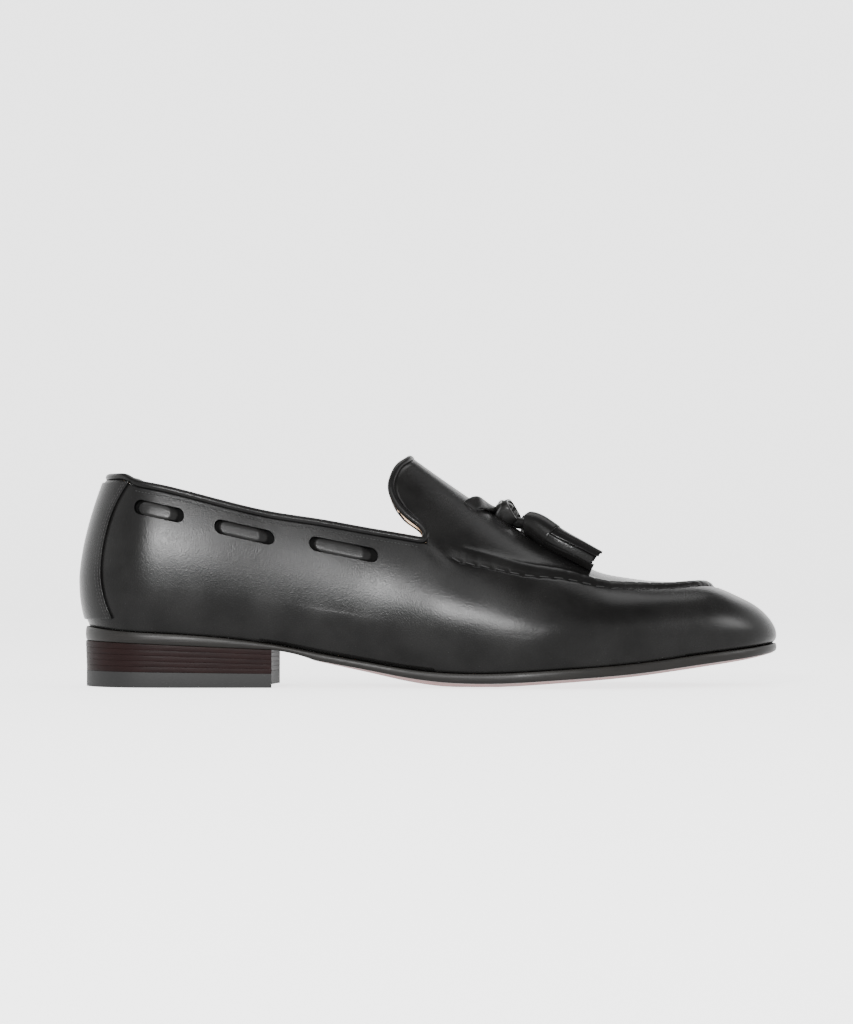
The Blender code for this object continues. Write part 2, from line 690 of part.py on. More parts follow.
def make_back_strap(finish, home):
    """The strip over the back seam, lifted off the wall by the usual gap."""
    heights = np.linspace(BACK_STRAP[0][0], BACK_STRAP[-1][0], 11) * COLLAR_HEIGHT
    widths = HEEL_WIDTH * smooth([r[0] for r in BACK_STRAP], [r[1] for r in BACK_STRAP],
                                 heights / COLLAR_HEIGHT)
    reach = phi_at(LAST_BACK + widths)
    across = np.linspace(0, 1, 6)
    phi = reach[:, None] * across
    z = np.broadcast_to(heights[:, None], phi.shape)
    pieces = []
    for side in (LATERAL, MEDIAL):
        points = side_point(x_at(phi), z, side, 1.5 * GAP)
        points[:, 0, 1] = 0
        pieces.append((points, grid_faces(*points.shape[:2])))

    def looks_forward(work):
        face = min(work.faces, key=lambda f: f.calc_center_median().x)
        return face.normal.x > 0

    strap = mesh_object("back_strap", pieces, finish, home, looks_forward)
    thicken(strap, STRAP_THICKNESS, 1)
    return strap


def pill(index, side, grow, low, high):
    """A pill-shaped block on the upper's side, between two lifts off its wall, as points and faces."""
    station, slope, long = WINDOWS[index]
    along = np.linspace(-1, 1, 11)
    across = np.linspace(-1, 1, 3)
    half_long = long * WINDOW_LENGTH / 2 + grow
    half_high = WINDOW_HEIGHT / 2 + grow
    straight = (half_long - half_high) / half_long
    over = np.clip((np.abs(along) - straight) / (1 - straight), 0, 1)
    high_here = half_high * np.sqrt(np.maximum(1 - over ** 2, 0.05))
    x = station * SOLE_LENGTH + along[:, None] * half_long + 0 * across
    middle = float(collar_edge(station * SOLE_LENGTH)) - WINDOW_DROP - WINDOW_HEIGHT / 2
    z = middle + slope * (x - station * SOLE_LENGTH) + high_here[:, None] * across
    inner = side_point(x, z, side, low)
    outer = side_point(x, z, side, high)
    pieces = [(inner, grid_faces(*inner.shape[:2])), (outer, grid_faces(*outer.shape[:2]))]
    for wall in (np.stack([inner[0], outer[0]]), np.stack([inner[-1], outer[-1]]),
                 np.stack([inner[:, 0], outer[:, 0]]), np.stack([inner[:, -1], outer[:, -1]])):
        pieces.append((wall, grid_faces(*wall.shape[:2])))
    return pieces


def make_window_cutters(home):
    made = []
    for side in (LATERAL, MEDIAL):
        for i in range(len(WINDOWS)):
            name = f"window_{SIDE_NAMES[side]}_{i + 1}"
            cutter = mesh_object(name, pill(i, side, 0.0, -WINDOW_DEPTH, 2 * WALL), None, home)
            cutter.hide_render = True
            cutter.display_type = "WIRE"
            made.append(cutter)
    return made


def make_lace_bars(finish, home):
    for side in (LATERAL, MEDIAL):
        for i in range(len(WINDOWS)):
            name = f"lace_bar_{SIDE_NAMES[side]}_{i + 1}"
            mesh_object(name, pill(i, side, -1.8 * GAP, 1.5 * GAP - WINDOW_DEPTH, LACE_RISE), finish, home)


def on_vamp(x, ratio, side, lift):
    """Points over the vamp, lifted off it along its normal."""
    d = 0.2 * MM
    point = over_belly(x, ratio, side)
    along = over_belly(x + d, ratio, side) - over_belly(x - d, ratio, side)
    out = over_belly(x, ratio + 0.004, side) - over_belly(x, np.maximum(ratio - 0.004, 0), side)
    normal = np.cross(along, out)
    normal *= np.where(normal[..., 2:] < 0, -1, 1) / np.linalg.norm(normal, axis=-1, keepdims=True)
    return point + np.asarray(lift)[..., None] * normal


def route_points(table, count):
    """The rows of a route read smoothly along its length: stations, width shares and the last columns."""
    rows = np.array(table)
    at = np.linspace(0, len(rows) - 1, count)
    return [smooth(range(len(rows)), rows[:, k], at) for k in range(rows.shape[1])]


def make_vamp_laces(finish, home):
    """The two ends of the lace, each from its slot up to the knot."""
    for side in (LATERAL, MEDIAL):
        station, ratio, lift = route_points(LACE_ROUTE, 9)
        points = on_vamp(station * SOLE_LENGTH, ratio, side, lift * KNOT_SIZE)
        rings, faces = ring_tube(points, LACE_WIDTH / 2, 8, LACE_THICKNESS / LACE_WIDTH)
        mesh_object(f"vamp_lace_{SIDE_NAMES[side]}", [(rings, faces)], finish, home)


def make_knot(finish, home):
    """A ball of the knotted lace, flattened, with a waist between its two turns."""
    work = bmesh.new()
    bmesh.ops.create_uvsphere(work, u_segments=14, v_segments=9, radius=KNOT_SIZE / 2)
    middle = on_vamp(np.array(KNOT_STATION * SOLE_LENGTH), np.array(0.0), LATERAL,
                     np.array(KNOT_SIZE * 0.5))
    for v in work.verts:
        waist = 1 - 0.1 * math.exp(-(v.co.x / (0.18 * KNOT_SIZE)) ** 2)
        stretch = np.array(KNOT_SHAPE) * (1, waist, waist)
        v.co = middle + stretch * v.co
    shape = bpy.data.meshes.new("lace_knot")
    work.to_mesh(shape)
    work.free()
    shape.shade_smooth()
    shape.materials.append(finish)
    knot = bpy.data.objects.new("lace_knot", shape)
    home.objects.link(knot)
    knot.location.x = -HEEL_CENTRE


def make_tassel(side, finish, home):
    """A tassel lying on the vamp: the cord's neck, the wrapped sleeve and the fringe of strips."""
    station, ratio, thick, slit = (np.array(c) for c in zip(*TASSEL))
    radius = thick * TASSEL_RADIUS
    lift = np.maximum(radius, TASSEL_RADIUS * 0.92) + 1.5 * GAP
    points = on_vamp(station * SOLE_LENGTH, ratio, side, lift)
    way = np.gradient(points, axis=0)
    way /= np.linalg.norm(way, axis=1, keepdims=True)
    across = np.cross(way, (0.0, 0.0, 1.0))
    across /= np.linalg.norm(across, axis=1, keepdims=True)
    over = np.cross(across, way)
    count = 3 * TASSEL_STRIPS
    share = np.array([0.1, 0.3, 0.8])
    turn = ((np.arange(TASSEL_STRIPS)[:, None] + share) / TASSEL_STRIPS * 2 * math.pi).ravel()
    deep = np.tile([1.0, 0.0, 0.0], TASSEL_STRIPS)
    reach = np.repeat(0.9 * MM * np.cos(2.4 * np.arange(TASSEL_STRIPS)), 3)
    ring = radius[:, None] - STRIP_DEPTH * slit[:, None] * deep
    spread = np.cos(turn)[None, :, None] * across[:, None] + np.sin(turn)[None, :, None] * over[:, None]
    rings = points[:, None] + ring[..., None] * spread
    rings[-1] += reach[:, None] * way[-1]
    inner = points[-1] + 0.55 * (rings[-1] - points[-1])
    rings = np.concatenate([rings, inner[None]])
    faces = grid_faces(len(rings), count, wrap=True)
    faces.append(tuple(range(count)))
    faces.append(tuple(range((len(rings) - 1) * count, len(rings) * count)))
    mesh_object(f"tassel_{SIDE_NAMES[side]}", [(rings, faces)], finish, home)


def main():
    clear_scene()
    home = collection("tassel_loafer")
    cutter_home = collection("cutters")
    calf = material("black_calf", (0.012, 0.012, 0.013), 0.32)
    sole_leather = material("dark_red_sole", (0.10, 0.02, 0.018), 0.4)
    stack_leather = material("stacked_heel", (0.035, 0.018, 0.018), 0.45)
    rubber = material("black_rubber", (0.012, 0.012, 0.012), 0.6)
    lining = material("tan_lining", (0.62, 0.40, 0.26), 0.6)
    cutters = make_window_cutters(cutter_home)
    make_upper(calf, home, cutters)
    make_outsole(sole_leather, home)
    make_heel(stack_leather, rubber, home)
    make_insole(lining, home)
    make_back_strap(calf, home)
    make_collar_binding(calf, home)
    make_tab_binding(calf, home)
    make_lace_bars(calf, home)
    make_vamp_laces(calf, home)
    make_knot(calf, home)
    for side in (LATERAL, MEDIAL):
        make_tassel(side, calf, home)


main()
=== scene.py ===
"""The looks of the tassel loafer: black calf, tan lining, red sole leather, stacked heel and tassels.

Every surface follows the same last as the solids: sections by share of the sole's length, worked out as
whole arrays on grids. Places are metres from the back of the sole; a piece is shifted to the row frame,
whose origin is under the middle of the heel's tread, when its mesh is made.
"""

import json
import math

import bmesh
import bpy
import numpy as np
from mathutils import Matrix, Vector

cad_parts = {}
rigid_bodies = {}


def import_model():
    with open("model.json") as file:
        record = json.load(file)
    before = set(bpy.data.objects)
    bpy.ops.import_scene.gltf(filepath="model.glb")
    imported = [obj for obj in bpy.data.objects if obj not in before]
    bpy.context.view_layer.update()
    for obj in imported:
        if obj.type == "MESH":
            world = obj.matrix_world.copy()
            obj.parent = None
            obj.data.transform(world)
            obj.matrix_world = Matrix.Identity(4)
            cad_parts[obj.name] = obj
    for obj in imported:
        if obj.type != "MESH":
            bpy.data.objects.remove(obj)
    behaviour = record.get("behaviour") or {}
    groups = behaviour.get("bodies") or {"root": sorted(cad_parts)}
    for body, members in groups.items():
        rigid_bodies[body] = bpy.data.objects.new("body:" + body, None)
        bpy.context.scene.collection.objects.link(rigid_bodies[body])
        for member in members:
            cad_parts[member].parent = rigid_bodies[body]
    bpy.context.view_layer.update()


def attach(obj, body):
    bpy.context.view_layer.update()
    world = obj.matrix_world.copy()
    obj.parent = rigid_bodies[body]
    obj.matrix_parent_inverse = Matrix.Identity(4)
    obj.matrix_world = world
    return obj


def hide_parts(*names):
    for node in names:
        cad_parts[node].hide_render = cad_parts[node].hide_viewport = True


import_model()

MM = 0.001

# Driving sizes
SOLE_LENGTH = 300 * MM
BALL_WIDTH = 102 * MM
HEEL_WIDTH = 68 * MM
INSTEP_HEIGHT = 98.8 * MM
COLLAR_HEIGHT = 91.0 * MM
HEEL_SEAT_HEIGHT = 26 * MM
TOE_SPRING = 11.9 * MM
TOE_SWING = 7 * MM
TOE_DEPTH = 25 * MM
WALL = 2.0 * MM
GAP = 0.3 * MM
MERGE = 0.02 * MM

# Last and lasting
HEEL_OVERHANG = 2.2 * MM
HEEL_LEAN = 11 * MM
HEEL_BULGE_HEIGHT = 46 * MM
TOE_TUCK = 1.6 * MM
HEEL_TUCK = 3.4 * MM
WAIST_TUCK = 7 * MM
LASTING_MARGIN = 11 * MM
TUCK_ROUNDING = 0.9

# Sole and heel
SOLE_THICKNESS = 4.4 * MM
SOLE_CAMBER = 2.2 * MM
TREAD_PRESS = 1.2
SOLE_MARGIN = 1.6 * MM
HEEL_BREAST = 82 * MM
HEEL_REAR_DROP = 6.4 * MM
HEEL_PITCH = 3.7 * MM
BREAST_HOLLOW = 3 * MM
LIFT_COUNT = 5
LIFT_INSET = 0.5 * MM
TOP_LIFT_REAR = 6.9 * MM
TOP_LIFT_BREAST = 5.9 * MM
INSOLE_THICKNESS = 3 * MM

# Trim
SEAM_RISE = 1.3 * MM
SEAM_WIDTH = 4.6 * MM
TAB_REACH = 13.5 * MM
NOTCH_STATION = 0.4915
BINDING_RADIUS = 1.35 * MM
STRAP_THICKNESS = 1.0 * MM
LACE_WIDTH = 4.6 * MM
LACE_THICKNESS = 1.8 * MM
WINDOW_LENGTH = 26 * MM
WINDOW_HEIGHT = 6.2 * MM
WINDOW_DROP = 5.1 * MM
KNOT_SIZE = 11 * MM
TASSEL_RADIUS = 5.8 * MM


# Columns: share of the sole's length, the width that the row follows, its lateral and medial halves as
# shares of that width, height of the belly as a share of HEEL_BULGE_HEIGHT, height of the ridge as a
# share of INSTEP_HEIGHT, and how far the section is drawn in towards its ridge
LAST = (
    (None, HEEL_WIDTH, 0.0, 0.0, 1.0, 1.47, 0.25),
    (0.02, HEEL_WIDTH, 0.315, 0.315, 1.0, 1.47, 0.25),
    (0.07, HEEL_WIDTH, 0.465, 0.460, 0.98, 1.47, 0.25),
    (0.13, HEEL_WIDTH, 0.500, 0.495, 0.93, 1.46, 0.25),
    (0.20, HEEL_WIDTH, 0.505, 0.500, 0.87, 1.42, 0.25),
    (0.28, HEEL_WIDTH, 0.505, 0.495, 0.79, 1.34, 0.25),
    (0.36, HEEL_WIDTH, 0.520, 0.500, 0.70, 1.235, 0.25),
    (0.4357, BALL_WIDTH, 0.368, 0.350, 0.62, 1.078, 0.24),
    (0.497, BALL_WIDTH, 0.405, 0.375, 0.56, 0.942, 0.22),
    (0.555, BALL_WIDTH, 0.440, 0.410, 0.51, 0.819, 0.18),
    (0.599, BALL_WIDTH, 0.468, 0.440, 0.48, 0.731, 0.14),
    (0.642, BALL_WIDTH, 0.486, 0.470, 0.45, 0.652, 0.08),
    (0.686, BALL_WIDTH, 0.493, 0.492, 0.445, 0.582, 0.0),
    (0.741, BALL_WIDTH, 0.483, 0.500, 0.45, 0.497, -0.07),
    (0.776, BALL_WIDTH, 0.465, 0.490, 0.455, 0.4745, -0.13),
    (0.811, BALL_WIDTH, 0.438, 0.468, 0.46, 0.460, -0.17),
    (0.845, BALL_WIDTH, 0.402, 0.435, 0.465, 0.454, -0.19),
    (0.892, BALL_WIDTH, 0.350, 0.380, 0.47, 0.4475, -0.2),
    (0.938, BALL_WIDTH, 0.280, 0.306, 0.47, 0.3985, -0.18),
    (0.966, BALL_WIDTH, 0.215, 0.235, 0.47, 0.3560, -0.14),
    (0.988, BALL_WIDTH, 0.130, 0.143, 0.47, 0.2990, -0.1),
    (1.0, BALL_WIDTH, 0.0, 0.0, 0.47, 0.2190, -0.1),
)

# Columns: share of the sole's length, drop of the sole's top from the seat to the ball as a share, rise
# towards the toe as a share of TOE_SPRING, edge thickness as a share of SOLE_THICKNESS, camber share
SOLE = (
    (0.0, 1.0, 0.0, 1.45, 0.0),
    (0.048, 0.907, 0.0, 1.38, 0.0),
    (0.136, 0.825, 0.0, 1.25, 0.0),
    (0.206, 0.742, 0.0, 1.12, 0.0),
    (0.283, 0.582, 0.0, 0.86, 0.05),
    (0.347, 0.392, 0.0, 0.78, 0.35),
    (0.417, 0.196, 0.0, 0.80, 0.65),
    (0.453, 0.098, 0.0, 0.84, 0.8),
    (0.513, 0.0, 0.0, 0.94, 1.0),
    (0.602, 0.0, 0.0, 1.0, 1.0),
    (0.676, 0.0, 0.118, 1.0, 1.0),
    (0.787, 0.0, 0.345, 1.0, 0.95),
    (0.898, 0.0, 0.689, 0.98, 0.8),
    (0.962, 0.0, 0.866, 0.9, 0.5),
    (1.0, 0.0, 1.0, 0.8, 0.2),
)

# Columns: share of the sole's length, height of the collar's edge as a share of COLLAR_HEIGHT
COLLAR = (
    (-0.012, 1.005), (0.018, 1.0), (0.034, 0.996), (0.052, 0.975), (0.09, 0.948), (0.157, 0.902),
    (0.218, 0.853), (0.278, 0.811), (0.337, 0.782), (0.395, 0.748), (0.454, 0.715), (0.4915, 0.694),
)

# Columns: share of the half section's width out from the ridge, reach back as a share of TAB_REACH
TAB = (
    (0.0, 0.395), (0.15, 0.465), (0.26, 0.58), (0.39, 0.80), (0.51, 0.965), (0.595, 1.0), (0.64, 0.89),
    (0.668, 0.73), (0.70, 0.36), (0.735, 0.06), (0.78, 0.0), (1.0, 0.0),
)

# Columns: share of the sole's length, share of the half section's width where the apron's seam runs
APRON = (
    (0.529, 0.828), (0.565, 0.815), (0.623, 0.785), (0.70, 0.715), (0.76, 0.665), (0.82, 0.635),
    (0.88, 0.60), (0.94, 0.555), (1.0, 0.505),
)

# Columns: height as a share of COLLAR_HEIGHT, half width of the back strap as a share of HEEL_WIDTH
BACK_STRAP = (
    (0.32, 0.234), (0.39, 0.203), (0.47, 0.180), (0.57, 0.168), (0.73, 0.170), (0.87, 0.20), (0.96, 0.25),
)

# Columns: centre of each lace window as a share of the sole's length, its slope, its length as a share of
# WINDOW_LENGTH
WINDOWS = ((0.106, -0.20, 0.91), (0.234, -0.22, 1.0), (0.3745, -0.20, 1.12))

# Columns: share of the sole's length, share of the half section's width, height of the lace's middle
# over the vamp as a share of KNOT_SIZE; it runs over the vamp, through the knot and into the tassel
LACE_ROUTE = (
    (0.5520, 0.345, -0.10), (0.5560, 0.300, 0.10), (0.5630, 0.245, 0.15), (0.5715, 0.170, 0.12),
    (0.5810, 0.085, 0.12), (0.590, 0.03, 0.16), (0.6010, 0.03, 0.20), (0.6110, 0.07, 0.22),
    (0.6190, 0.106, 0.28), (0.6270, 0.144, 0.38), (0.6380, 0.185, 0.40),
)
LACE_POINTS = 70
# The slot that the lace comes out of: share of the sole's length, share of the half section's width
LACE_SLOT = (0.5535, 0.330)
SLOT_SIZE = (3.2 * MM, 1.5 * MM)
SLOT_RIM = 0.42 * MM
# How far the lace is raised and how far it turns about its line, in radians, half way to the knot
LACE_RAISE = 0.7 * MM
LACE_TILT = 0.40

# Columns: share of the sole's length, share of the instep's height, slope in radians, half width and half
# length as shares, depth; one soft trough or ridge a row
FOLDS = (
    (0.500, 0.57, 0.30, 0.012, 0.06, 0.18 * MM),
    (0.519, 0.555, 0.30, 0.010, 0.05, -0.15 * MM),
    (0.610, 0.36, -0.30, 0.026, 0.12, 0.12 * MM),
    (0.655, 0.31, -0.35, 0.026, 0.12, 0.10 * MM),
    (0.350, 0.42, 0.10, 0.045, 0.16, 0.15 * MM),
)

# Columns: share of the sole's length, share of the half section's width, height of the tassel's middle
# line over the vamp as a share of TASSEL_RADIUS; the third and fourth rows are the sleeve's head and mouth
TASSEL_LINE = (
    (0.6120, 0.075, 0.36), (0.6230, 0.118, 0.54), (0.6300, 0.145, 0.80), (0.6640, 0.262, 0.83),
    (0.6900, 0.310, 0.78), (0.7280, 0.345, 0.74),
)

# Columns: the axis of a turn of the knot along x, z and y, its shift along the axis and its size as shares
# of KNOT_SIZE, width of the strap in mm
KNOT_TURNS = (
    (1.0, -0.50, 0.15, -0.20, 0.92, 5.6),
    (0.80, 0.42, -0.25, 0.13, 1.06, 5.8),
    (0.30, 0.85, 0.30, -0.05, 0.82, 5.0),
)
# Share of the sole's length, height over the vamp as a share of KNOT_SIZE, stretch along x, y and z
KNOT_STATION = 0.6015
KNOT_LIFT = 0.24
KNOT_STRETCH = (0.98, 1.22, 0.88)
KNOT_SQUARENESS = 3.2
KNOT_THICKNESS = 1.4 * MM

# Columns: name, place, size across and up, power
LAMPS = (
    ("heel_box", (-0.32, -1.60, 0.47), (0.26, 0.10), 62.0),
    ("waist_box", (-0.01, -1.60, 0.60), (0.18, 0.10), 1.5),
    ("high_box", (-0.40, -1.10, 1.10), (1.0, 0.6), 17.0),
    ("toe_box", (1.50, -0.30, 0.60), (0.5, 0.4), 15.0),
    ("top_box", (0.15, 0.5, 1.6), (1.4, 0.9), 18.0),
)
WORLD_LIGHT = 0.4
LIGHT_TARGET = (0.1066, 0.0, 0.04)
CAMERA_PLACE = (0.1066, -1.045, 0.038)
CAMERA_TARGET = (0.1063, -0.045, 0.0736)
CAMERA_LENS = 84.5
FLOOR_GLOW = 2.4
# The stage's floor: radius of its flat part, then reach and height of its rising rim, in metres
FLOOR_FLAT = 2.6
RIM_REACH = 0.9
RIM_HEIGHT = 2.4

# How deep the windows are cut into the leather
WINDOW_CUT = 1.85 * MM
# Distances from a window's back and front ends over which its lace comes up out of the dark
BACK_DIVE = (0.8 * MM, 3.0 * MM)
FRONT_DIVE = (1.2 * MM, 6.5 * MM)
# The same two distances up to which the lace is given the near-black finish as painted shade
LACE_DARK = (1.9 * MM, 3.2 * MM)
# The lace in a window: its inset, its edge off the wall, its crown, and how far it dives at the ends
BAR_INSET = 0.10 * MM
BAR_EDGE = -0.40 * MM
BAR_CROWN = 0.38 * MM
BAR_DIP = 1.35 * MM

LATERAL = -1
MEDIAL = 1
# For each side: how much further back the tab reaches, the share of the half width where it does so
# most, and over what share that fades
TAB_FULLER = {LATERAL: (-0.9 * MM, 0.700, 0.035), MEDIAL: (2.7 * MM, 0.733, 0.044)}
# How far ahead of the notch and above the collar's edge the piping turns, point by point
NOTCH_TURN = ((-1.63 * MM, 2.3 * MM), (-0.41 * MM, 3.7 * MM), (-0.66 * MM, 5.9 * MM))
# The lining folds over the piping where a ring's point is this far in, near this share of its height,
# and not within NOTCH_CLEAR of the notch
LINING_FOLD = -0.25
LINING_MIDDLE = -0.2
LINING_REACH = 0.45
NOTCH_CLEAR = 5 * MM
# Strips of a tassel's fringe in its outer layer, and their section
FRINGE_COUNT = 9
STRIP_WIDTH = 3.6 * MM
STRIP_THICKNESS = 1.1 * MM
FRINGE_SEED = 7

SOLE_ROUNDING = 1.3 * MM
LAYER_EASE = 0.07 * MM
SEAM_PITCH = 6.6 * MM
PIT_WIDTH = 0.75 * MM
# Columns and rows of the upper's grids
VAMP_COLUMNS = 230
QUARTER_COLUMNS = 90
LOW_ROWS = 28
ROLL_ROWS = 10
HIGH_ROWS = 18

SIDE_NAMES = {LATERAL: "lateral", MEDIAL: "medial"}
LAST_BACK = -HEEL_OVERHANG
LAST_LENGTH = SOLE_LENGTH + HEEL_OVERHANG
HEEL_CENTRE = HEEL_BREAST / 2
POLE_SETBACK = 55 / 300 * SOLE_LENGTH
NOTCH_X = NOTCH_STATION * SOLE_LENGTH


def smooth(xs, ys, at):
    """A natural cubic spline through the points (xs, ys), read at the places at."""
    xs = np.asarray(xs, float)
    ys = np.asarray(ys, float)
    n = len(xs)
    step = np.diff(xs)
    slope = np.diff(ys) / step
    m = np.eye(n)
    rhs = np.zeros(n)
    for i in range(1, n - 1):
        m[i, i - 1:i + 2] = step[i - 1], 2 * (step[i - 1] + step[i]), step[i]
        rhs[i] = 6 * (slope[i] - slope[i - 1])
    bend = np.linalg.solve(m, rhs)
    at = np.clip(np.asarray(at, float), xs[0], xs[-1])
    i = np.clip(np.searchsorted(xs, at, side="right") - 1, 0, n - 2)
    a = at - xs[i]
    return (ys[i] + a * (slope[i] - step[i] * (2 * bend[i] + bend[i + 1]) / 6)
            + a ** 2 * bend[i] / 2 + a ** 3 * (bend[i + 1] - bend[i]) / (6 * step[i]))


def straight(xs, ys, at):
    """The straight lines through the points (xs, ys), read at the places at."""
    return np.interp(at, xs, ys)


def sampled(run, rows, at, read=smooth):
    """The columns of rows, which lie at the lengths run, read at the places at."""
    return np.stack([read(run, values, at) for values in rows.T], axis=-1)


def unit(vectors):
    """Rows of vectors at length 1."""
    return vectors / np.linalg.norm(vectors, axis=-1, keepdims=True)


def upward(vectors):
    """Vectors at length 1, turned to look up."""
    return vectors * (np.where(vectors[..., 2:] < 0, -1, 1) / np.linalg.norm(vectors, axis=-1, keepdims=True))


def phi_at(x):
    """The angle that stands for a place along the last: 0 at the back and pi at the toe."""
    return np.arccos(np.clip(1 - 2 * (np.asarray(x, float) - LAST_BACK) / LAST_LENGTH, -1, 1))


def x_at(phi):
    return LAST_BACK + LAST_LENGTH * (1 - np.cos(phi)) / 2


LAST_PHI = [0.0 if row[0] is None else float(phi_at(row[0] * SOLE_LENGTH)) for row in LAST]


def column(table, key, at_x):
    """One column of a table by share of the sole's length, smoothly, at the places at_x."""
    return smooth([row[0] for row in table], [row[key] for row in table], np.asarray(at_x) / SOLE_LENGTH)


def half_width(phi, side):
    key = 2 if side == LATERAL else 3
    return np.maximum(smooth(LAST_PHI, [row[1] * row[key] for row in LAST], phi), 0)


def swing(x):
    """How far the last's middle line has turned to the inner side: nothing up to the waist."""
    t = np.clip((np.asarray(x) / SOLE_LENGTH - 0.5) / 0.5, 0, 1)
    return TOE_SWING * t ** 1.8


def belly_height(phi):
    return smooth(LAST_PHI, [row[4] * HEEL_BULGE_HEIGHT for row in LAST], phi)


def ridge_height(phi):
    return np.maximum(smooth(LAST_PHI, [row[5] * INSTEP_HEIGHT for row in LAST], phi), belly_height(phi))


def draw_in(phi):
    return smooth(LAST_PHI, [row[6] for row in LAST], phi)


def sole_top(x):
    """Height of the sole's top, where the upper's edge meets it."""
    ball = SOLE_THICKNESS + SOLE_CAMBER
    drop = column(SOLE, 1, x)
    rise = column(SOLE, 2, x)
    return ball + drop * (HEEL_SEAT_HEIGHT - ball) + rise * TOE_SPRING


def lean(points):
    """Carry the back of the upper forward, more the higher it is, and less away from the back seam."""
    out = np.array(points, float)
    up = np.clip((out[..., 2] - HEEL_BULGE_HEIGHT) / (COLLAR_HEIGHT - HEEL_BULGE_HEIGHT), 0, None)
    fade = 1 - np.clip((out[..., 0] - LAST_BACK) / (SOLE_LENGTH / 3), 0, 1)
    out[..., 0] += HEEL_LEAN * up ** 1.6 * fade ** 2
    return out


def over_belly(x, ratio, side):
    """Points of the last above its belly: at x, at ratio of the half width out from the ridge."""
    phi = phi_at(x)
    low = belly_height(phi)
    flat = np.clip(1 - ratio ** 2, 0, 1)
    z = low + (ridge_height(phi) - low) * np.sqrt(flat) * (1 - draw_in(phi) * ratio ** 2)
    y = swing(x) + side * half_width(phi, side) * ratio
    return np.stack(np.broadcast_arrays(x, y, z), axis=-1)


def outline(phi, side, inset):
    """Plan of the belly's outline, moved inwards along its own normal by inset."""
    d = 1e-3
    phi = np.asarray(phi, float)

    def bare(a):
        b = np.clip(a, 0, math.pi)
        x = x_at(b)
        y = swing(x) + side * half_width(b, side)
        return x, y

    x0, y0 = bare(phi - d)
    x1, y1 = bare(phi + d)
    dx = np.where((phi < d) | (phi > math.pi - d), 0.0, x1 - x0)
    dy = y1 - y0
    dy = np.where(phi < d, side * 1.0, np.where(phi > math.pi - d, -side * 1.0, dy))
    size = np.hypot(dx, dy)
    x, y = bare(phi)
    return x + side * inset * dy / size, y - side * inset * dx / size


def tuck(phi):
    """How far the upper's lower edge lies inside its belly."""
    s = x_at(phi) / SOLE_LENGTH
    waist = np.exp(-((s - 0.42) / 0.15) ** 2)
    ends = HEEL_TUCK + (TOE_TUCK - HEEL_TUCK) * np.clip((s - 0.3) / 0.5, 0, 1)
    return ends, waist


def edge_inset(phi, side):
    ends, waist = tuck(phi)
    reach = WAIST_TUCK * (1.0 if side == MEDIAL else 0.25)
    return ends + reach * waist


def under_belly(phi, t, side):
    """Points below the belly: t is 0 at the belly and 1 at the sole, rounded inwards."""
    curl = (1 - np.sqrt(1 - (TUCK_ROUNDING * t) ** 2)) / (1 - math.sqrt(1 - TUCK_ROUNDING ** 2))
    x, y = outline(phi, side, edge_inset(phi, side) * curl)
    low = sole_top(x) + GAP
    z = belly_height(phi) + t * (low - belly_height(phi))
    return np.stack(np.broadcast_arrays(x, y, z), axis=-1)


def turned_in(phi, reach, side):
    """Points of the lasting margin, reach inwards from the upper's lower edge."""
    x, y = outline(phi, side, edge_inset(phi, side) + reach)
    return np.stack(np.broadcast_arrays(x, y, sole_top(x) + GAP), axis=-1)


def ratio_at_height(x, z):
    """The share of the half width at which the section at x reaches the height z."""
    phi = phi_at(x)
    share = np.clip((z - belly_height(phi)) / (ridge_height(phi) - belly_height(phi)), 0, 1)
    low = np.zeros_like(share)
    high = np.ones_like(share)
    for _ in range(40):
        middle = (low + high) / 2
        over = np.sqrt(1 - middle ** 2) * (1 - draw_in(phi) * middle ** 2) > share
        low = np.where(over, middle, low)
        high = np.where(over, high, middle)
    return (low + high) / 2


def collar_edge(x):
    """Height of the wall's edge at the collar, under its rolled binding."""
    return column(COLLAR, 1, x) * COLLAR_HEIGHT - 2 * BINDING_RADIUS


def side_point(x, z, side, lift):
    """A point of the upper's side at x and height z, lifted off the wall along its normal."""
    d = 0.2 * MM
    x, z = np.broadcast_arrays(np.asarray(x, float), np.asarray(z, float))

    def bare(phi, height):
        place = x_at(phi)
        above = over_belly(place, ratio_at_height(place, height), side)
        low = sole_top(place) + GAP
        t = np.clip((belly_height(phi) - height) / (belly_height(phi) - low), 0, 1)
        below = under_belly(phi, t, side)
        return lean(np.where((height > belly_height(phi))[..., None], above, below))

    phi = phi_at(x)
    e = d / LAST_LENGTH
    p = bare(phi, z)
    along = bare(np.minimum(phi + e, math.pi), z) - bare(np.maximum(phi - e, 0), z)
    up = bare(phi, z + d) - bare(phi, z - d)
    normal = side * np.cross(up, along)
    back = (phi < 1e-6)[..., None]
    normal = np.where(back, normal * np.array([1, 0, 1]), normal)
    return p + lift * normal / np.linalg.norm(normal, axis=-1, keepdims=True)


def grid_faces(rows, columns, wrap=False):
    """Quads over a grid of rows by columns of points, the columns joined in a ring if wrap."""
    faces = []
    for i in range(rows - 1):
        for j in range(columns if wrap else columns - 1):
            k = (j + 1) % columns
            faces.append((i * columns + j, i * columns + k, (i + 1) * columns + k, (i + 1) * columns + j))
    return faces


def part(points, wrap=False, ends=False, slot=0):
    """A part of a piece: a grid of points, its faces with both ends closed if asked, and its slot."""
    rows, columns = points.shape[:2]
    faces = grid_faces(rows, columns, wrap)
    if ends:
        faces += [tuple(range(columns)), tuple(range((rows - 1) * columns, rows * columns))]
    return points, faces, slot


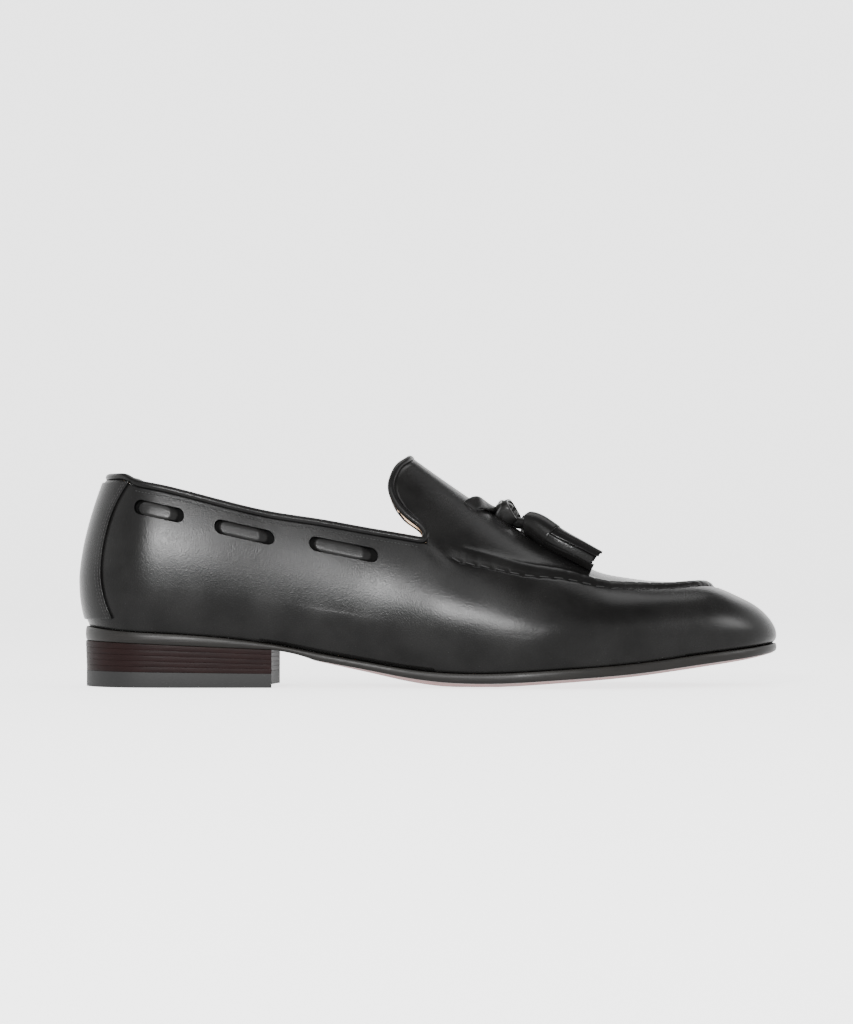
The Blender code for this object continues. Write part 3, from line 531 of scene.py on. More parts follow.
def strap_rings(line, across, out, half_wide, half_thick, sides, power, turned=0.0):
    """Rings of a flat strap along a line, across and out of it: a superellipse of that power."""
    turn = np.arange(sides) * 2 * math.pi / sides + turned
    c = (np.sign(np.cos(turn)) * np.abs(np.cos(turn)) ** power)[None, :, None]
    s = (np.sign(np.sin(turn)) * np.abs(np.sin(turn)) ** power)[None, :, None]
    half_wide = np.reshape(half_wide, (-1, 1, 1))
    half_thick = np.reshape(half_thick, (-1, 1, 1))
    return line[:, None] + (half_wide * c * across[:, None] + half_thick * s * out[:, None])


def apron_ratio(x):
    """The seam's share of the half width, starting from the notch at the end of the collar."""
    notch = float(ratio_at_height(np.array(NOTCH_X), collar_edge(NOTCH_X)))
    return column(((NOTCH_STATION, notch), *APRON), 1, x)


def tab_reach(ratio, side):
    """How far the tab's edge lies back of the notch, at that share of the half width; fuller inside."""
    more, middle, wide = TAB_FULLER[side]
    fuller = more * np.exp(-((ratio - middle) / wide) ** 2)
    return TAB_REACH * smooth([row[0] for row in TAB], [row[1] for row in TAB], ratio) + fuller


def seam_lift(x):
    """Height of the apron's seam above the wall along its length: nothing beside the tab."""
    t = np.clip((x / SOLE_LENGTH - 0.515) / 0.03, 0, 1)
    return SEAM_RISE * t * t * (3 - 2 * t)


def sole_inset(phi, side):
    return edge_inset(phi, side) - SOLE_MARGIN


def sole_bottom(x, e):
    """Underside of the outsole: a straight ramp over the heel, cambered and flat in the middle ahead."""
    edge = sole_top(x) - SOLE_THICKNESS * column(SOLE, 3, x)
    camber = TREAD_PRESS * SOLE_CAMBER * column(SOLE, 4, x)
    free = np.maximum(edge - camber * (1 - np.abs(e) ** 2.2), 0)
    ramp = HEEL_SEAT_HEIGHT - HEEL_REAR_DROP - HEEL_PITCH * x / HEEL_BREAST
    ahead = np.clip((x - HEEL_BREAST) / (0.06 * SOLE_LENGTH), 0, 1)
    return ramp * (1 - ahead) + free * ahead


def on_vamp(x, ratio, side, lift):
    """Points over the vamp, lifted off it along its normal."""
    d = 0.2 * MM
    point = over_belly(x, ratio, side)
    along = over_belly(x + d, ratio, side) - over_belly(x - d, ratio, side)
    out = over_belly(x, ratio + 0.004, side) - over_belly(x, np.maximum(ratio - 0.004, 0), side)
    normal = np.cross(along, out)
    return point + np.asarray(lift)[..., None] * upward(normal)


def route_points(table, count):
    """The rows of a route read smoothly along its length: stations, width shares and the last columns."""
    rows = np.array(table)
    at = np.linspace(0, len(rows) - 1, count)
    return [smooth(range(len(rows)), rows[:, k], at) for k in range(rows.shape[1])]


def ring_tube(points, radius, sides, squash=1.0):
    """A closed tube along points, its frame carried without twist; radius may vary along it."""
    points = np.asarray(points, float)
    radius = np.broadcast_to(radius, len(points))
    way = unit(np.gradient(points, axis=0))
    up = np.array([0.0, 0.0, 1.0])
    rings = []
    for p, w, r in zip(points, way, radius):
        across = np.cross(w, up)
        across /= np.linalg.norm(across)
        over = np.cross(across, w)
        turn = np.arange(sides) * 2 * math.pi / sides
        ring = p + r * (np.cos(turn)[:, None] * across + squash * np.sin(turn)[:, None] * over)
        rings.append(ring)
    return part(np.array(rings), wrap=True, ends=True)[:2]


def vamp_surface(side):
    """The vamp, from the belly up to the ridge, on spokes that fan forward round the toe.

    A point lies on the spoke between the belly's outline and the ridge, at the cosine of its row's angle;
    rows stop at the apron's seam, cross its roll, and go on to the ridge. The roll is a half sine over a
    crease with a Gaussian pit at every stitch. The tab's edge is the first column, moved back by the
    tab's table.
    """
    phi = np.linspace(float(phi_at(NOTCH_X)), math.pi, VAMP_COLUMNS)
    x_out = x_at(phi)
    x_in = x_out - POLE_SETBACK * ((x_out - NOTCH_X) / (SOLE_LENGTH - NOTCH_X)) ** 2
    seam = np.arccos(apron_ratio(x_out))
    band = SEAM_WIDTH / (1.6 * TOE_DEPTH)
    low = low_shares()
    roll = np.linspace(0, 1, ROLL_ROWS)[1:, None]
    high = np.linspace(0, 1, HIGH_ROWS)[1:, None]
    turn = np.concatenate([seam * low, seam + band * roll,
                           seam + band + (math.pi / 2 - seam - band) * high])
    out = np.cos(turn)
    out[-1] = 0.0
    x = x_in + (x_out - x_in) * out
    edge = -tab_reach(out[:, :1], side)
    edge[:LOW_ROWS] = 0
    tab_depth = 0.12 * SOLE_LENGTH
    fade = np.clip(1 - (x_out - NOTCH_X) / tab_depth, 0, 1) ** 2
    x = x + edge * fade
    wide = half_width(phi_at(x), side)
    ratio = np.where(wide > 1e-6, out * half_width(phi, side) / np.maximum(wide, 1e-6), 0)
    ratio = np.where(x_out < NOTCH_X + tab_depth, out, ratio)
    points = over_belly(x, np.clip(ratio, 0, 1), side)
    along = seam_length(points[LOW_ROWS - 1])
    pit = np.exp(-((along % SEAM_PITCH - SEAM_PITCH / 2) / PIT_WIDTH) ** 2)
    rise = seam_lift(x_out)
    hump = np.sin(np.pi * np.clip(roll * 0.93, 0, 1)) ** 0.6 * (1 - 0.16 * pit) + 0.30 * roll
    deep = 0.55 * MM + 0.75 * MM * pit
    crease = -deep * np.exp(-((1 - low) / 0.030) ** 2) * np.minimum(rise / SEAM_RISE, 1)
    lift = np.concatenate([crease + 0 * x_out, rise * hump, rise * 0.30 * (1 - high) ** 3 + 0 * x_out])
    points[..., 2] += lift
    points += creases(points, side)
    return phi, lean(points)


def low_shares():
    """Rows from the belly up to the seam, closer together near the seam."""
    return 1 - (1 - np.linspace(0, 1, LOW_ROWS)[:, None]) ** 1.35


def seam_length(points):
    """Length along a row of points from its first one."""
    step = np.linalg.norm(np.diff(points, axis=0), axis=1)
    return np.concatenate([[0], np.cumsum(step)])


def creases(points, side):
    """Soft troughs and ridges where the leather has worked: a Gaussian across each fold's own line."""
    moved = np.zeros_like(points)
    x = points[..., 0] / SOLE_LENGTH
    z = points[..., 2] / INSTEP_HEIGHT
    for at_x, at_z, slope, wide, long, deep in FOLDS:
        off = (x - at_x) * math.cos(slope) + (z - at_z) * math.sin(slope)
        down = (z - at_z) * math.cos(slope) - (x - at_x) * math.sin(slope)
        moved[..., 1] -= side * deep * np.exp(-(off / wide) ** 2 - (down / long) ** 2)
    return moved


def quarter_surface(side):
    """The quarter: from the back seam to the notch, and from the belly up to the collar's edge."""
    phi = np.linspace(0, float(phi_at(NOTCH_X)), QUARTER_COLUMNS)
    x = x_at(phi)
    top = ratio_at_height(x, collar_edge(x))
    top[-1] = apron_ratio(NOTCH_X)
    turn = low_shares() * np.arccos(top)
    points = over_belly(np.broadcast_to(x, turn.shape), np.cos(turn), side)
    points += creases(points, side) * np.clip(phi / 0.5, 0, 1)[None, :, None]
    return phi, lean(points)


def lower_surface(phi, side):
    """From the belly round the lasted edge and in under the foot, a curl then a flat margin."""
    rows = [under_belly(phi, t, side) for t in 1 - np.cos(np.linspace(0, math.pi / 2, 14))]
    rows += [turned_in(phi, reach, side) for reach in np.linspace(0.1, 1, 5) * LASTING_MARGIN]
    points = np.array(rows)
    bend = creases(points, side)
    weight = np.linspace(1, 0, len(rows))[:, None, None] ** 2
    return lean(points + bend * weight * np.clip(phi / 0.5, 0, 1)[None, :, None])


def row_mesh(name, points, faces):
    """A mesh of points given from the back of the sole, shifted to the row frame."""
    shape = bpy.data.meshes.new(name)
    shape.from_pydata((points - (HEEL_CENTRE, 0, 0)).tolist(), [], faces)
    return shape


def show(name, data):
    """An object in the scene."""
    made = bpy.data.objects.new(name, data)
    bpy.context.scene.collection.objects.link(made)
    return made


def show_piece(name, shape):
    """A mesh as an object that rides on the shoe's one body."""
    made = show(name, shape)
    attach(made, "root")
    return made


def piece(name, parts, slots, nodes=(), looks_wrong=None, smooth_angle=50):
    """A mesh object from parts, each its points, faces and slot index, shifted to the row frame."""
    places = np.concatenate([np.reshape(points, (-1, 3)) for points, faces, slot in parts])
    faces = []
    kinds = []
    start = 0
    for points, part_faces, slot in parts:
        faces += [[i + start for i in face] for face in part_faces]
        kinds += [slot] * len(part_faces)
        start += np.size(points) // 3
    shape = row_mesh(name, places, faces)
    shape.polygons.foreach_set("material_index", kinds)
    close_up(shape, looks_wrong)
    shape.shade_smooth()
    shape.set_sharp_from_angle(angle=math.radians(smooth_angle))
    for finish in slots:
        shape.materials.append(finish)
    made = show_piece(name, shape)
    if nodes:
        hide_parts(*nodes)
    return made


def close_up(shape, looks_wrong=None):
    """Merge the doubles of a mesh and turn its faces outwards."""
    work = bmesh.new()
    work.from_mesh(shape)
    bmesh.ops.remove_doubles(work, verts=work.verts, dist=0.5 * MERGE)
    bmesh.ops.dissolve_degenerate(work, edges=work.edges, dist=1e-7)
    bmesh.ops.recalc_face_normals(work, faces=work.faces)
    if looks_wrong is not None and looks_wrong(work):
        bmesh.ops.reverse_faces(work, faces=work.faces)
    work.to_mesh(shape)
    work.free()


def faces_inward(work):
    """Whether the face furthest to the side looks to the middle."""
    face = max(work.faces, key=lambda f: f.calc_center_median().y)
    return face.normal.y < 0


def faces_forward(work):
    """Whether the rearmost face looks to the toe."""
    face = min(work.faces, key=lambda f: f.calc_center_median().x)
    return face.normal.x > 0


def thicken(thing, thickness, offset, inner=0):
    shell = thing.modifiers.new("wall", "SOLIDIFY")
    shell.thickness = thickness
    shell.offset = offset
    shell.use_even_offset = True
    shell.material_offset = inner
    shell.material_offset_rim = 0


def window_cutter(index, side, shade):
    """A pill-shaped cutter for one lace window, sunk into the wall, whose near-black finish its cut faces
    take as painted shade.
    """
    shape = row_mesh("cutter", *pill_block(index, side, 0.0, -WINDOW_CUT, 2 * WALL, 41, 11)[:2])
    close_up(shape)
    shape.materials.append(shade)
    return bpy.data.objects.new(f"cutter_{SIDE_NAMES[side]}_{index}", shape)


def pill_line(index, along, across, grow):
    """Place in side view of points of a window's pill: half circles at the ends of a straight run.

    The last two arrays are the distances along the window from the arcs of its back and front ends.
    """
    station, slope, long = WINDOWS[index]
    half_long = long * WINDOW_LENGTH / 2 + grow
    half_high = WINDOW_HEIGHT / 2 + grow
    straight = (half_long - half_high) / half_long
    over = np.clip((np.abs(along) - straight) / (1 - straight), 0, 1)
    off = half_high * np.sqrt(np.maximum(1 - over ** 2, 1e-4)) * across
    x = station * SOLE_LENGTH + along * half_long
    middle = float(collar_edge(station * SOLE_LENGTH)) - WINDOW_DROP - WINDOW_HEIGHT / 2
    z = middle + slope * (x - station * SOLE_LENGTH) + off
    arc = half_long - half_high + np.sqrt(np.maximum(half_high ** 2 - off ** 2, 0))
    return x, z, arc + along * half_long, arc - along * half_long


def ramp(value, low, high):
    """0 below low and 1 above high, smooth between."""
    t = np.clip((value - low) / (high - low), 0, 1)
    return t * t * (3 - 2 * t)


def pill_block(index, side, grow, low, high, long_count, wide_count, crown=0.0, dip=0.0):
    """A closed block of pill outline between two lifts off the wall, its top crowned and dipped."""
    spread = np.sin(np.linspace(-math.pi / 2, math.pi / 2, long_count))[:, None]
    across = np.linspace(-1, 1, wide_count)[None, :]
    x, z, back, front = pill_line(index, spread + 0 * across, across + 0 * spread, grow)
    inner = side_point(x, z, side, low)
    drop = 1 - ramp(back, *BACK_DIVE) * ramp(front, *FRONT_DIVE)
    shape = high + crown * (1 - across ** 4) - dip * drop
    shape = np.maximum(shape, low + 0.05 * MM)
    outer = side_point_lifts(x, z, side, shape + 0 * x)
    count = long_count * wide_count
    faces = grid_faces(long_count, wide_count)
    faces += [tuple(i + count for i in reversed(f)) for f in grid_faces(long_count, wide_count)]
    ring = list(range(wide_count)) + [i * wide_count + wide_count - 1 for i in range(1, long_count)]
    ring += [long_count * wide_count - 1 - i for i in range(1, wide_count)]
    ring += [(long_count - 1 - i) * wide_count for i in range(1, long_count - 1)]
    faces += [(a, b, b + count, a + count) for a, b in zip(ring, ring[1:] + ring[:1])]
    # Points near the ends whose faces take the near-black finish: painted shade.
    painted_shade_mask = (back < LACE_DARK[0]) | (front < LACE_DARK[1])
    return np.concatenate([inner.reshape(-1, 3), outer.reshape(-1, 3)]), faces, painted_shade_mask


def side_point_lifts(x, z, side, lift):
    """A point of the upper's side, with its own lift for each point."""
    base = side_point(x, z, side, 0.0)
    away = side_point(x, z, side, MM) - base
    return base + away * (lift / MM)[..., None]


def make_upper(finish, lining, shade):
    parts = []
    for side in (LATERAL, MEDIAL):
        for phi, points in (quarter_surface(side), vamp_surface(side)):
            parts += [part(points), part(lower_surface(phi, side))]
    upper = piece("upper_leather", parts, [finish, lining], ["upper"], faces_inward, 60)
    thicken(upper, WALL, -1, 1)
    cutters = bpy.data.collections.new("window_cutters")
    for side in (LATERAL, MEDIAL):
        for index in range(len(WINDOWS)):
            cutters.objects.link(window_cutter(index, side, shade))
    cut = upper.modifiers.new("windows", "BOOLEAN")
    cut.operand_type = "COLLECTION"
    cut.collection = cutters
    cut.solver = "EXACT"
    # The window walls take the cutter's near-black finish: painted shade.
    cut.material_mode = "TRANSFER"
    apply_modifiers(upper)
    for cutter in list(cutters.objects):
        bpy.data.objects.remove(cutter)
    bpy.data.collections.remove(cutters)


def apply_modifiers(thing):
    """Put the evaluated mesh in place of the bare one and drop the modifiers."""
    looked_at = thing.evaluated_get(bpy.context.evaluated_depsgraph_get())
    shape = bpy.data.meshes.new_from_object(looked_at)
    thing.modifiers.clear()
    old = thing.data
    thing.data = shape
    bpy.data.meshes.remove(old)


def edge_profile(count):
    """Shares across (0 in, 1 at the edge's furthest) and up (0 bottom, 1 top) round a sole's edge."""
    a = np.linspace(-math.pi / 2, math.pi / 2, count)
    return np.cos(a) ** 0.5, (np.sin(a) + 1) / 2


def make_slab(name, stations, inset, low, high, rounding, finishes, nodes, across_count=25):
    """A sheet between two heights by place, its plan following the last's outline, its edge rounded.

    Each station is a ring: across the top, round one edge, back along the bottom, round the other edge.
    """
    e = np.sin(np.linspace(-math.pi / 2, math.pi / 2, across_count))
    bulge, up = edge_profile(9)

    def plan(side, extra):
        return np.stack(outline(stations, side, inset(stations, side) - extra), axis=-1)

    left = plan(LATERAL, 0.0)
    right = plan(MEDIAL, 0.0)
    t = (e[None, :, None] + 1) / 2
    flat = left[:, None] * (1 - t) + right[:, None] * t
    columns = []
    slots = []
    for i in range(across_count):
        x = flat[:, i, 0]
        columns.append(np.column_stack([flat[:, i], high(x, e[i] + 0 * x)]))
        slots.append(2)
    for side, order in ((MEDIAL, -1), (LATERAL, 1)):
        steps = range(len(up))[::order]
        for k in list(steps)[1:-1]:
            outer = plan(side, rounding * bulge[k])
            x = outer[:, 0]
            bottom = low(x, side + 0 * x)
            top = high(x, side + 0 * x)
            columns.append(np.column_stack([outer, bottom + (top - bottom) * up[k]]))
            slots.append(1)
        if side == MEDIAL:
            for i in range(across_count)[::-1]:
                x = flat[:, i, 0]
                columns.append(np.column_stack([flat[:, i], low(x, e[i] + 0 * x)]))
                slots.append(0)
    points = np.stack(columns, axis=1)
    count = points.shape[1]
    groups = {0: [], 1: [], 2: []}
    for n, face in enumerate(grid_faces(len(stations), count, wrap=True)):
        column_at = n % count
        kinds = slots[column_at], slots[(column_at + 1) % count]
        groups[1 if 1 in kinds or kinds[0] != kinds[1] else kinds[0]].append(face)
    parts = [(points, faces, slot) for slot, faces in groups.items()]
    piece(name, parts, finishes, nodes, None, 40)


def make_outsole(edge, tread, top):
    breast = float(phi_at(HEEL_BREAST))
    stations = np.concatenate([np.linspace(0, breast, 40)[:-1], np.linspace(breast, math.pi, 130)])

    def inset(phi, side):
        return sole_inset(phi, side) + SOLE_ROUNDING

    make_slab("outsole_leather", stations, inset, sole_bottom, lambda x, e: sole_top(x),
              SOLE_ROUNDING, [tread, edge, top], ["outsole"])


def make_insole(finish):
    def inset(phi, side):
        return edge_inset(phi, side) + WALL + 2 * GAP + SOLE_ROUNDING

    lift = WALL + 3 * GAP
    make_slab("insole_sock", np.linspace(0, math.pi, 120), inset, lambda x, e: sole_top(x) + lift,
              lambda x, e: sole_top(x) + lift + INSOLE_THICKNESS * (1 - 0.12 * (1 - e ** 2)),
              SOLE_ROUNDING, [finish, finish, finish], ["insole"])


def heel_loop(inset_by, count):
    """Plan of one heel layer: back along both sides from the breast, then the hollow breast itself."""
    phi = np.linspace(0, float(phi_at(HEEL_BREAST)), count)

    def side_line(side):
        return np.stack(outline(phi, side, sole_inset(phi, side) + inset_by), axis=-1)

    lateral = side_line(LATERAL)[::-1]
    medial = side_line(MEDIAL)[1:]
    e = np.linspace(1, -1, 25)[1:-1]
    t = (e[:, None] + 1) / 2
    breast = lateral[0] * (1 - t) + medial[-1] * t
    breast[:, 0] -= BREAST_HOLLOW * (1 - e ** 2)
    return np.concatenate([lateral, medial, breast])


def heel_layer(name, low, high, inset_by, finish, node):
    """One layer of the heel: its plan drawn in to a point at both faces, with its edges eased."""
    loop = heel_loop(inset_by, 60)
    middle = loop.mean(axis=0)
    ease = LAYER_EASE
    rows = []
    for share, up, pull in ((0.0, 0.0, 0.0), (0.5, 0.0, 0.0), (1.0, 0.0, 2 * ease), (1.0, ease, 0.4 * ease),
                            (1.0, 3 * ease, 0.0), (1.0, -3 * ease, 0.0), (1.0, -ease, 0.4 * ease),
                            (1.0, -1e-9, 2 * ease), (0.5, -1e-9, 0.0), (0.0, -1e-9, 0.0)):
        away = loop - middle
        size = np.linalg.norm(away, axis=1, keepdims=True)
        plan = middle + away * share * (1 - pull / size)
        level = low if up >= 0 else high
        rows.append(np.column_stack([plan, level(plan[:, 0]) + up]))
    piece(name, [part(np.array(rows), wrap=True)], [finish], [node], None, 40)


def make_heel(stack, rubber):
    def plane(rear, front):
        return lambda x: rear + (front - rear) * x / HEEL_BREAST

    seat_rear = HEEL_SEAT_HEIGHT - HEEL_REAR_DROP
    seat_front = seat_rear - HEEL_PITCH
    heel_layer("top_lift_rubber", lambda x: 0 * x, plane(TOP_LIFT_REAR, TOP_LIFT_BREAST),
               LIFT_INSET, rubber, "top_lift")
    for i in range(LIFT_COUNT):
        a = i / LIFT_COUNT
        b = (i + 1) / LIFT_COUNT
        low = plane(TOP_LIFT_REAR * (1 - a) + seat_rear * a, TOP_LIFT_BREAST * (1 - a) + seat_front * a)
        high = plane(TOP_LIFT_REAR * (1 - b) + seat_rear * b, TOP_LIFT_BREAST * (1 - b) + seat_front * b)
        heel_layer(f"leather_lift_{i + 1}", low, high, LIFT_INSET * (1 - a), stack,
                   f"heel_lift_{i + 1}")


def collar_path(count, lift):
    """A line round the collar from notch to notch at the height of the binding's middle, off the wall."""
    stop = (NOTCH_STATION - 0.012) * SOLE_LENGTH
    phi = np.linspace(0, float(phi_at(stop)), count)
    x = x_at(phi)
    height = collar_edge(x) + GAP + BINDING_RADIUS
    lateral = side_point(x, height, LATERAL, lift)[::-1]
    medial = side_point(x, height, MEDIAL, lift)
    lateral[-1, 1] = 0
    return np.concatenate([lateral, medial[1:]])


def tab_path(side, count, out):
    """A line from the notch along the tab's edge to the ridge, out beyond the edge, at the wall's middle."""
    ratio = np.cos(np.linspace(math.acos(apron_ratio(NOTCH_X) - 0.06), math.pi / 2, count))
    ratio[-1] = 0.0
    x = NOTCH_X - tab_reach(ratio, side)
    edge = lean(over_belly(x, ratio, side))
    way = np.gradient(edge, axis=0)
    back = lean(over_belly(x - MM, ratio, side)) - edge
    normal = upward(np.cross(way, back))
    away = np.cross(normal, way)
    away *= np.sign((away * back).sum(axis=1, keepdims=True))
    away = unit(away)
    path = edge + out * away - WALL / 2 * normal
    path[-1, 1] = swing(x[-1])
    return path, normal


def make_piping(finish, lining):
    """One rolled edge round the collar and the tab: a round tube along a spline through both lines.

    The lining is folded over the tube's inner face, where a ring's point lies on the wall's inner side.
    """
    collar = collar_path(91, -WALL / 2)
    outward = collar_path(91, MM - WALL / 2) - collar
    back = len(collar) // 2
    runs = []
    for side in (LATERAL, MEDIAL):
        tab, normal = tab_path(side, 40, BINDING_RADIUS)
        ahead, above = (np.array(c) for c in zip(*NOTCH_TURN))
        height = collar_edge(NOTCH_X) + above
        turn = side_point(NOTCH_X + ahead, height, side, -WALL / 2)
        turn_out = side_point(NOTCH_X + ahead, height, side, MM - WALL / 2) - turn
        runs.append((np.concatenate([turn, tab[4:]]), np.concatenate([turn_out / MM, normal[4:]])))
    knots, out = (np.concatenate([round_collar[back::-2], runs[0][k], runs[1][k][-2::-1],
                                  round_collar[:back - 1:-2]])
                  for k, round_collar in enumerate((collar, outward / MM)))
    run = seam_length(knots)
    at = np.linspace(0, run[-1], 620)
    path, out = sampled(run, knots, at), sampled(run, out, at)
    radius = BINDING_RADIUS + 0.8 * GAP
    rings, faces = ring_tube(path, radius, 18)
    side_of = ((rings - path[:, None]) * out[:, None]).sum(axis=-1) / radius
    away = unit(np.cross(out, np.gradient(path, axis=0)))
    edge_of = ((rings - path[:, None]) * away[:, None]).sum(axis=-1) / radius
    folded = (side_of + np.roll(side_of, -1, axis=1)) / 2 < LINING_FOLD
    folded &= np.abs(edge_of - LINING_MIDDLE) < LINING_REACH
    for turn in runs:
        folded &= np.linalg.norm(path - turn[0][1], axis=1)[:, None] > NOTCH_CLEAR
    folded = folded[:-1].ravel()
    leather = [f for f, inner in zip(faces[:-2], folded) if not inner]
    turned = [f for f, inner in zip(faces[:-2], folded) if inner]
    piece("edge_piping", [(rings, leather, 0), (rings, turned, 1)], [finish, lining],
          ["collar_binding", "tab_binding"])


def make_back_strap(finish):
    """The strip over the back seam, swept in height between its two curved edges."""
    heights = np.linspace(BACK_STRAP[0][0], BACK_STRAP[-1][0], 60) * COLLAR_HEIGHT
    widths = HEEL_WIDTH * smooth([r[0] for r in BACK_STRAP], [r[1] for r in BACK_STRAP],
                                 heights / COLLAR_HEIGHT)
    reach = phi_at(LAST_BACK + widths)
    across = np.linspace(0, 1, 22)
    phi = reach[:, None] * across
    z = np.broadcast_to(heights[:, None], phi.shape)
    parts = []
    for side in (LATERAL, MEDIAL):
        points = side_point(x_at(phi), z, side, 0.1 * MM)
        points[:, 0, 1] = 0
        parts.append(part(points))
    strap = piece("back_strap_leather", parts, [finish], ["back_strap"], faces_forward)
    thicken(strap, STRAP_THICKNESS, 1)
    edges = strap.modifiers.new("eased_edge", "BEVEL")
    edges.width = 0.3 * MM
    edges.segments = 2
    edges.limit_method = "ANGLE"
    edges.angle_limit = math.radians(60)
    return heights, reach


def make_lace_bars(finish, shade):
    """The lace where it shows in its windows: flush in the middle, diving at both ends; its sides and ends
    are given the near-black finish as painted shade.
    """
    long, wide = 121, 21
    faces_each = (long - 1) * (wide - 1)
    for side in (LATERAL, MEDIAL):
        for i in range(len(WINDOWS)):
            points, faces, painted_shade_mask = pill_block(i, side, -BAR_INSET, -WINDOW_CUT, BAR_EDGE, long, wide,
                                               BAR_CROWN, BAR_DIP)
            dives = (painted_shade_mask[:-1, :-1] & painted_shade_mask[1:, 1:]).ravel()
            top = faces[faces_each:2 * faces_each]
            lit = faces[:faces_each] + [f for f, deep in zip(top, dives) if not deep]
            dark = faces[2 * faces_each:] + [f for f, deep in zip(top, dives) if deep]
            name = f"lace_{SIDE_NAMES[side]}_{i + 1}"
            piece(name, [(points, lit, 0), (points, dark, 1)], [finish, shade],
                  [f"lace_bar_{SIDE_NAMES[side]}_{i + 1}"], None, 60)


def stitch_shape():
    """A short capsule along X of unit length and unit radius: a ring of points whose radius is rounded."""
    a = np.linspace(-math.pi / 2, math.pi / 2, 6)
    turn = np.arange(6) * math.pi / 3
    along = np.sin(a) * 0.5
    radius = np.cos(a) ** 0.6
    points = np.stack([np.broadcast_to(along[:, None], (6, 6)), radius[:, None] * np.cos(turn),
                       radius[:, None] * np.sin(turn)], axis=-1)
    return points.reshape(-1, 3), grid_faces(6, 6, wrap=True)


def stitches(name, paths, pitch, long, thick, finish):
    """Rows of thread: one capsule every pitch along each path, its points worked out as one array."""
    shape, faces = stitch_shape()
    all_points = []
    for path, normals in paths:
        run = seam_length(path)
        at = np.arange(pitch / 2, run[-1], pitch)
        centre = sampled(run, path, at, straight)
        way = sampled(run, path, at + pitch / 4, straight) - centre
        way /= np.maximum(np.linalg.norm(way, axis=1, keepdims=True), 1e-9)
        normal = unit(sampled(run, normals, at, straight))
        cross = np.cross(normal, way)
        points = (centre[:, None] + shape[None, :, :1] * long * way[:, None]
                  + shape[None, :, 1:2] * thick * cross[:, None]
                  + shape[None, :, 2:] * 0.6 * thick * normal[:, None])
        all_points.append(points.reshape(-1, 3))
    verts = np.concatenate(all_points)
    count = len(shape)
    every = []
    for n in range(len(verts) // count):
        every += [tuple(i + n * count for i in face) for face in faces]
        every.append(tuple(n * count + i for i in range(6))[::-1])
        every.append(tuple(n * count + count - 6 + i for i in range(6)))
    shape_mesh = row_mesh(name, verts, every)
    shape_mesh.materials.append(finish)
    work = bmesh.new()
    work.from_mesh(shape_mesh)
    bmesh.ops.recalc_face_normals(work, faces=work.faces)
    work.to_mesh(shape_mesh)
    work.free()
    shape_mesh.shade_smooth()
    show_piece(name, shape_mesh)


def side_row(x, z, side, lift):
    """A row of points on the side of the upper and the wall's normals there."""
    base = side_point(x, z, side, 0.0)
    out = side_point(x, z, side, MM) - base
    return base + out * (lift / MM), out / MM


def lace_route(side):
    """The lace's middle line and the vamp's normals: slot, vamp, through the knot, into the tassel."""
    station, ratio, lift = route_points(LACE_ROUTE, LACE_POINTS)
    line = on_vamp(station * SOLE_LENGTH, ratio, side, lift * KNOT_SIZE)
    return line, (on_vamp(station * SOLE_LENGTH, ratio, side, lift * KNOT_SIZE + MM) - line) / MM


def make_lace_end(side, finish):
    """A flat strap with eased edges, lying on the vamp, that gathers to a round cord at the knot."""
    route, normal = lace_route(side)
    share = np.linspace(0, 1, LACE_POINTS)
    halfway = np.sin(np.pi * np.clip(share / 0.5, 0, 1)) ** 2
    route = route + LACE_RAISE * halfway[:, None] * normal
    way = unit(np.gradient(route, axis=0))
    across = unit(np.cross(way, normal))
    over = np.cross(across, way)
    gather = np.clip((share - 0.30) / 0.2, 0, 1)
    tip = LACE_TILT * side * halfway
    across, over = (np.cos(tip)[:, None] * across + np.sin(tip)[:, None] * over,
                    np.cos(tip)[:, None] * over - np.sin(tip)[:, None] * across)
    wide = LACE_WIDTH / 2 * (1.45 - 0.60 * gather)
    thick = LACE_THICKNESS / 2 * (0.75 + 1.3 * gather)
    rings = strap_rings(route, across, over, wide, thick, 20, 0.7)
    strand = piece(f"lace_end_{SIDE_NAMES[side]}", [part(rings, wrap=True, ends=True)], [finish],
                   [f"vamp_lace_{SIDE_NAMES[side]}"])
    return strand, route - (HEEL_CENTRE, 0, 0)


def make_slots(finish, shade):
    """A pinched rim round each slot in the vamp that the lace comes out of, with a near-black pad inside as
    painted shade.
    """
    for side in (LATERAL, MEDIAL):
        route, normal = lace_route(side)
        middle = on_vamp(LACE_SLOT[0] * SOLE_LENGTH, np.array(LACE_SLOT[1]), side, 0.05 * MM)
        up = normal[0]
        way = route[12] - route[0]
        way -= way.dot(up) * up
        way /= np.linalg.norm(way)
        across = np.cross(up, way)
        turn = np.linspace(0, 2 * math.pi, 48, endpoint=False)[:, None]
        oval = SLOT_SIZE[0] * np.cos(turn) * across + SLOT_SIZE[1] * np.sin(turn) * way
        loop = middle + oval
        rings, faces = ring_tube(np.concatenate([loop, loop[:1]]), SLOT_RIM, 10)
        # A near-black pad in the slot's mouth: painted shade.
        painted_shade_pad = np.stack([middle + 0.25 * MM * up + 0 * oval, loop, middle - 0.4 * MM * up + 0 * oval])
        piece(f"lace_slot_{SIDE_NAMES[side]}", [(rings, faces[:-2], 0), part(painted_shade_pad, wrap=True, slot=1)],
              [finish, shade])


def make_laces_and_tassels(finish):
    knot = make_knot(finish)
    for side in (LATERAL, MEDIAL):
        tassel = make_tassel(side, finish)
        strand, line = make_lace_end(side, finish)


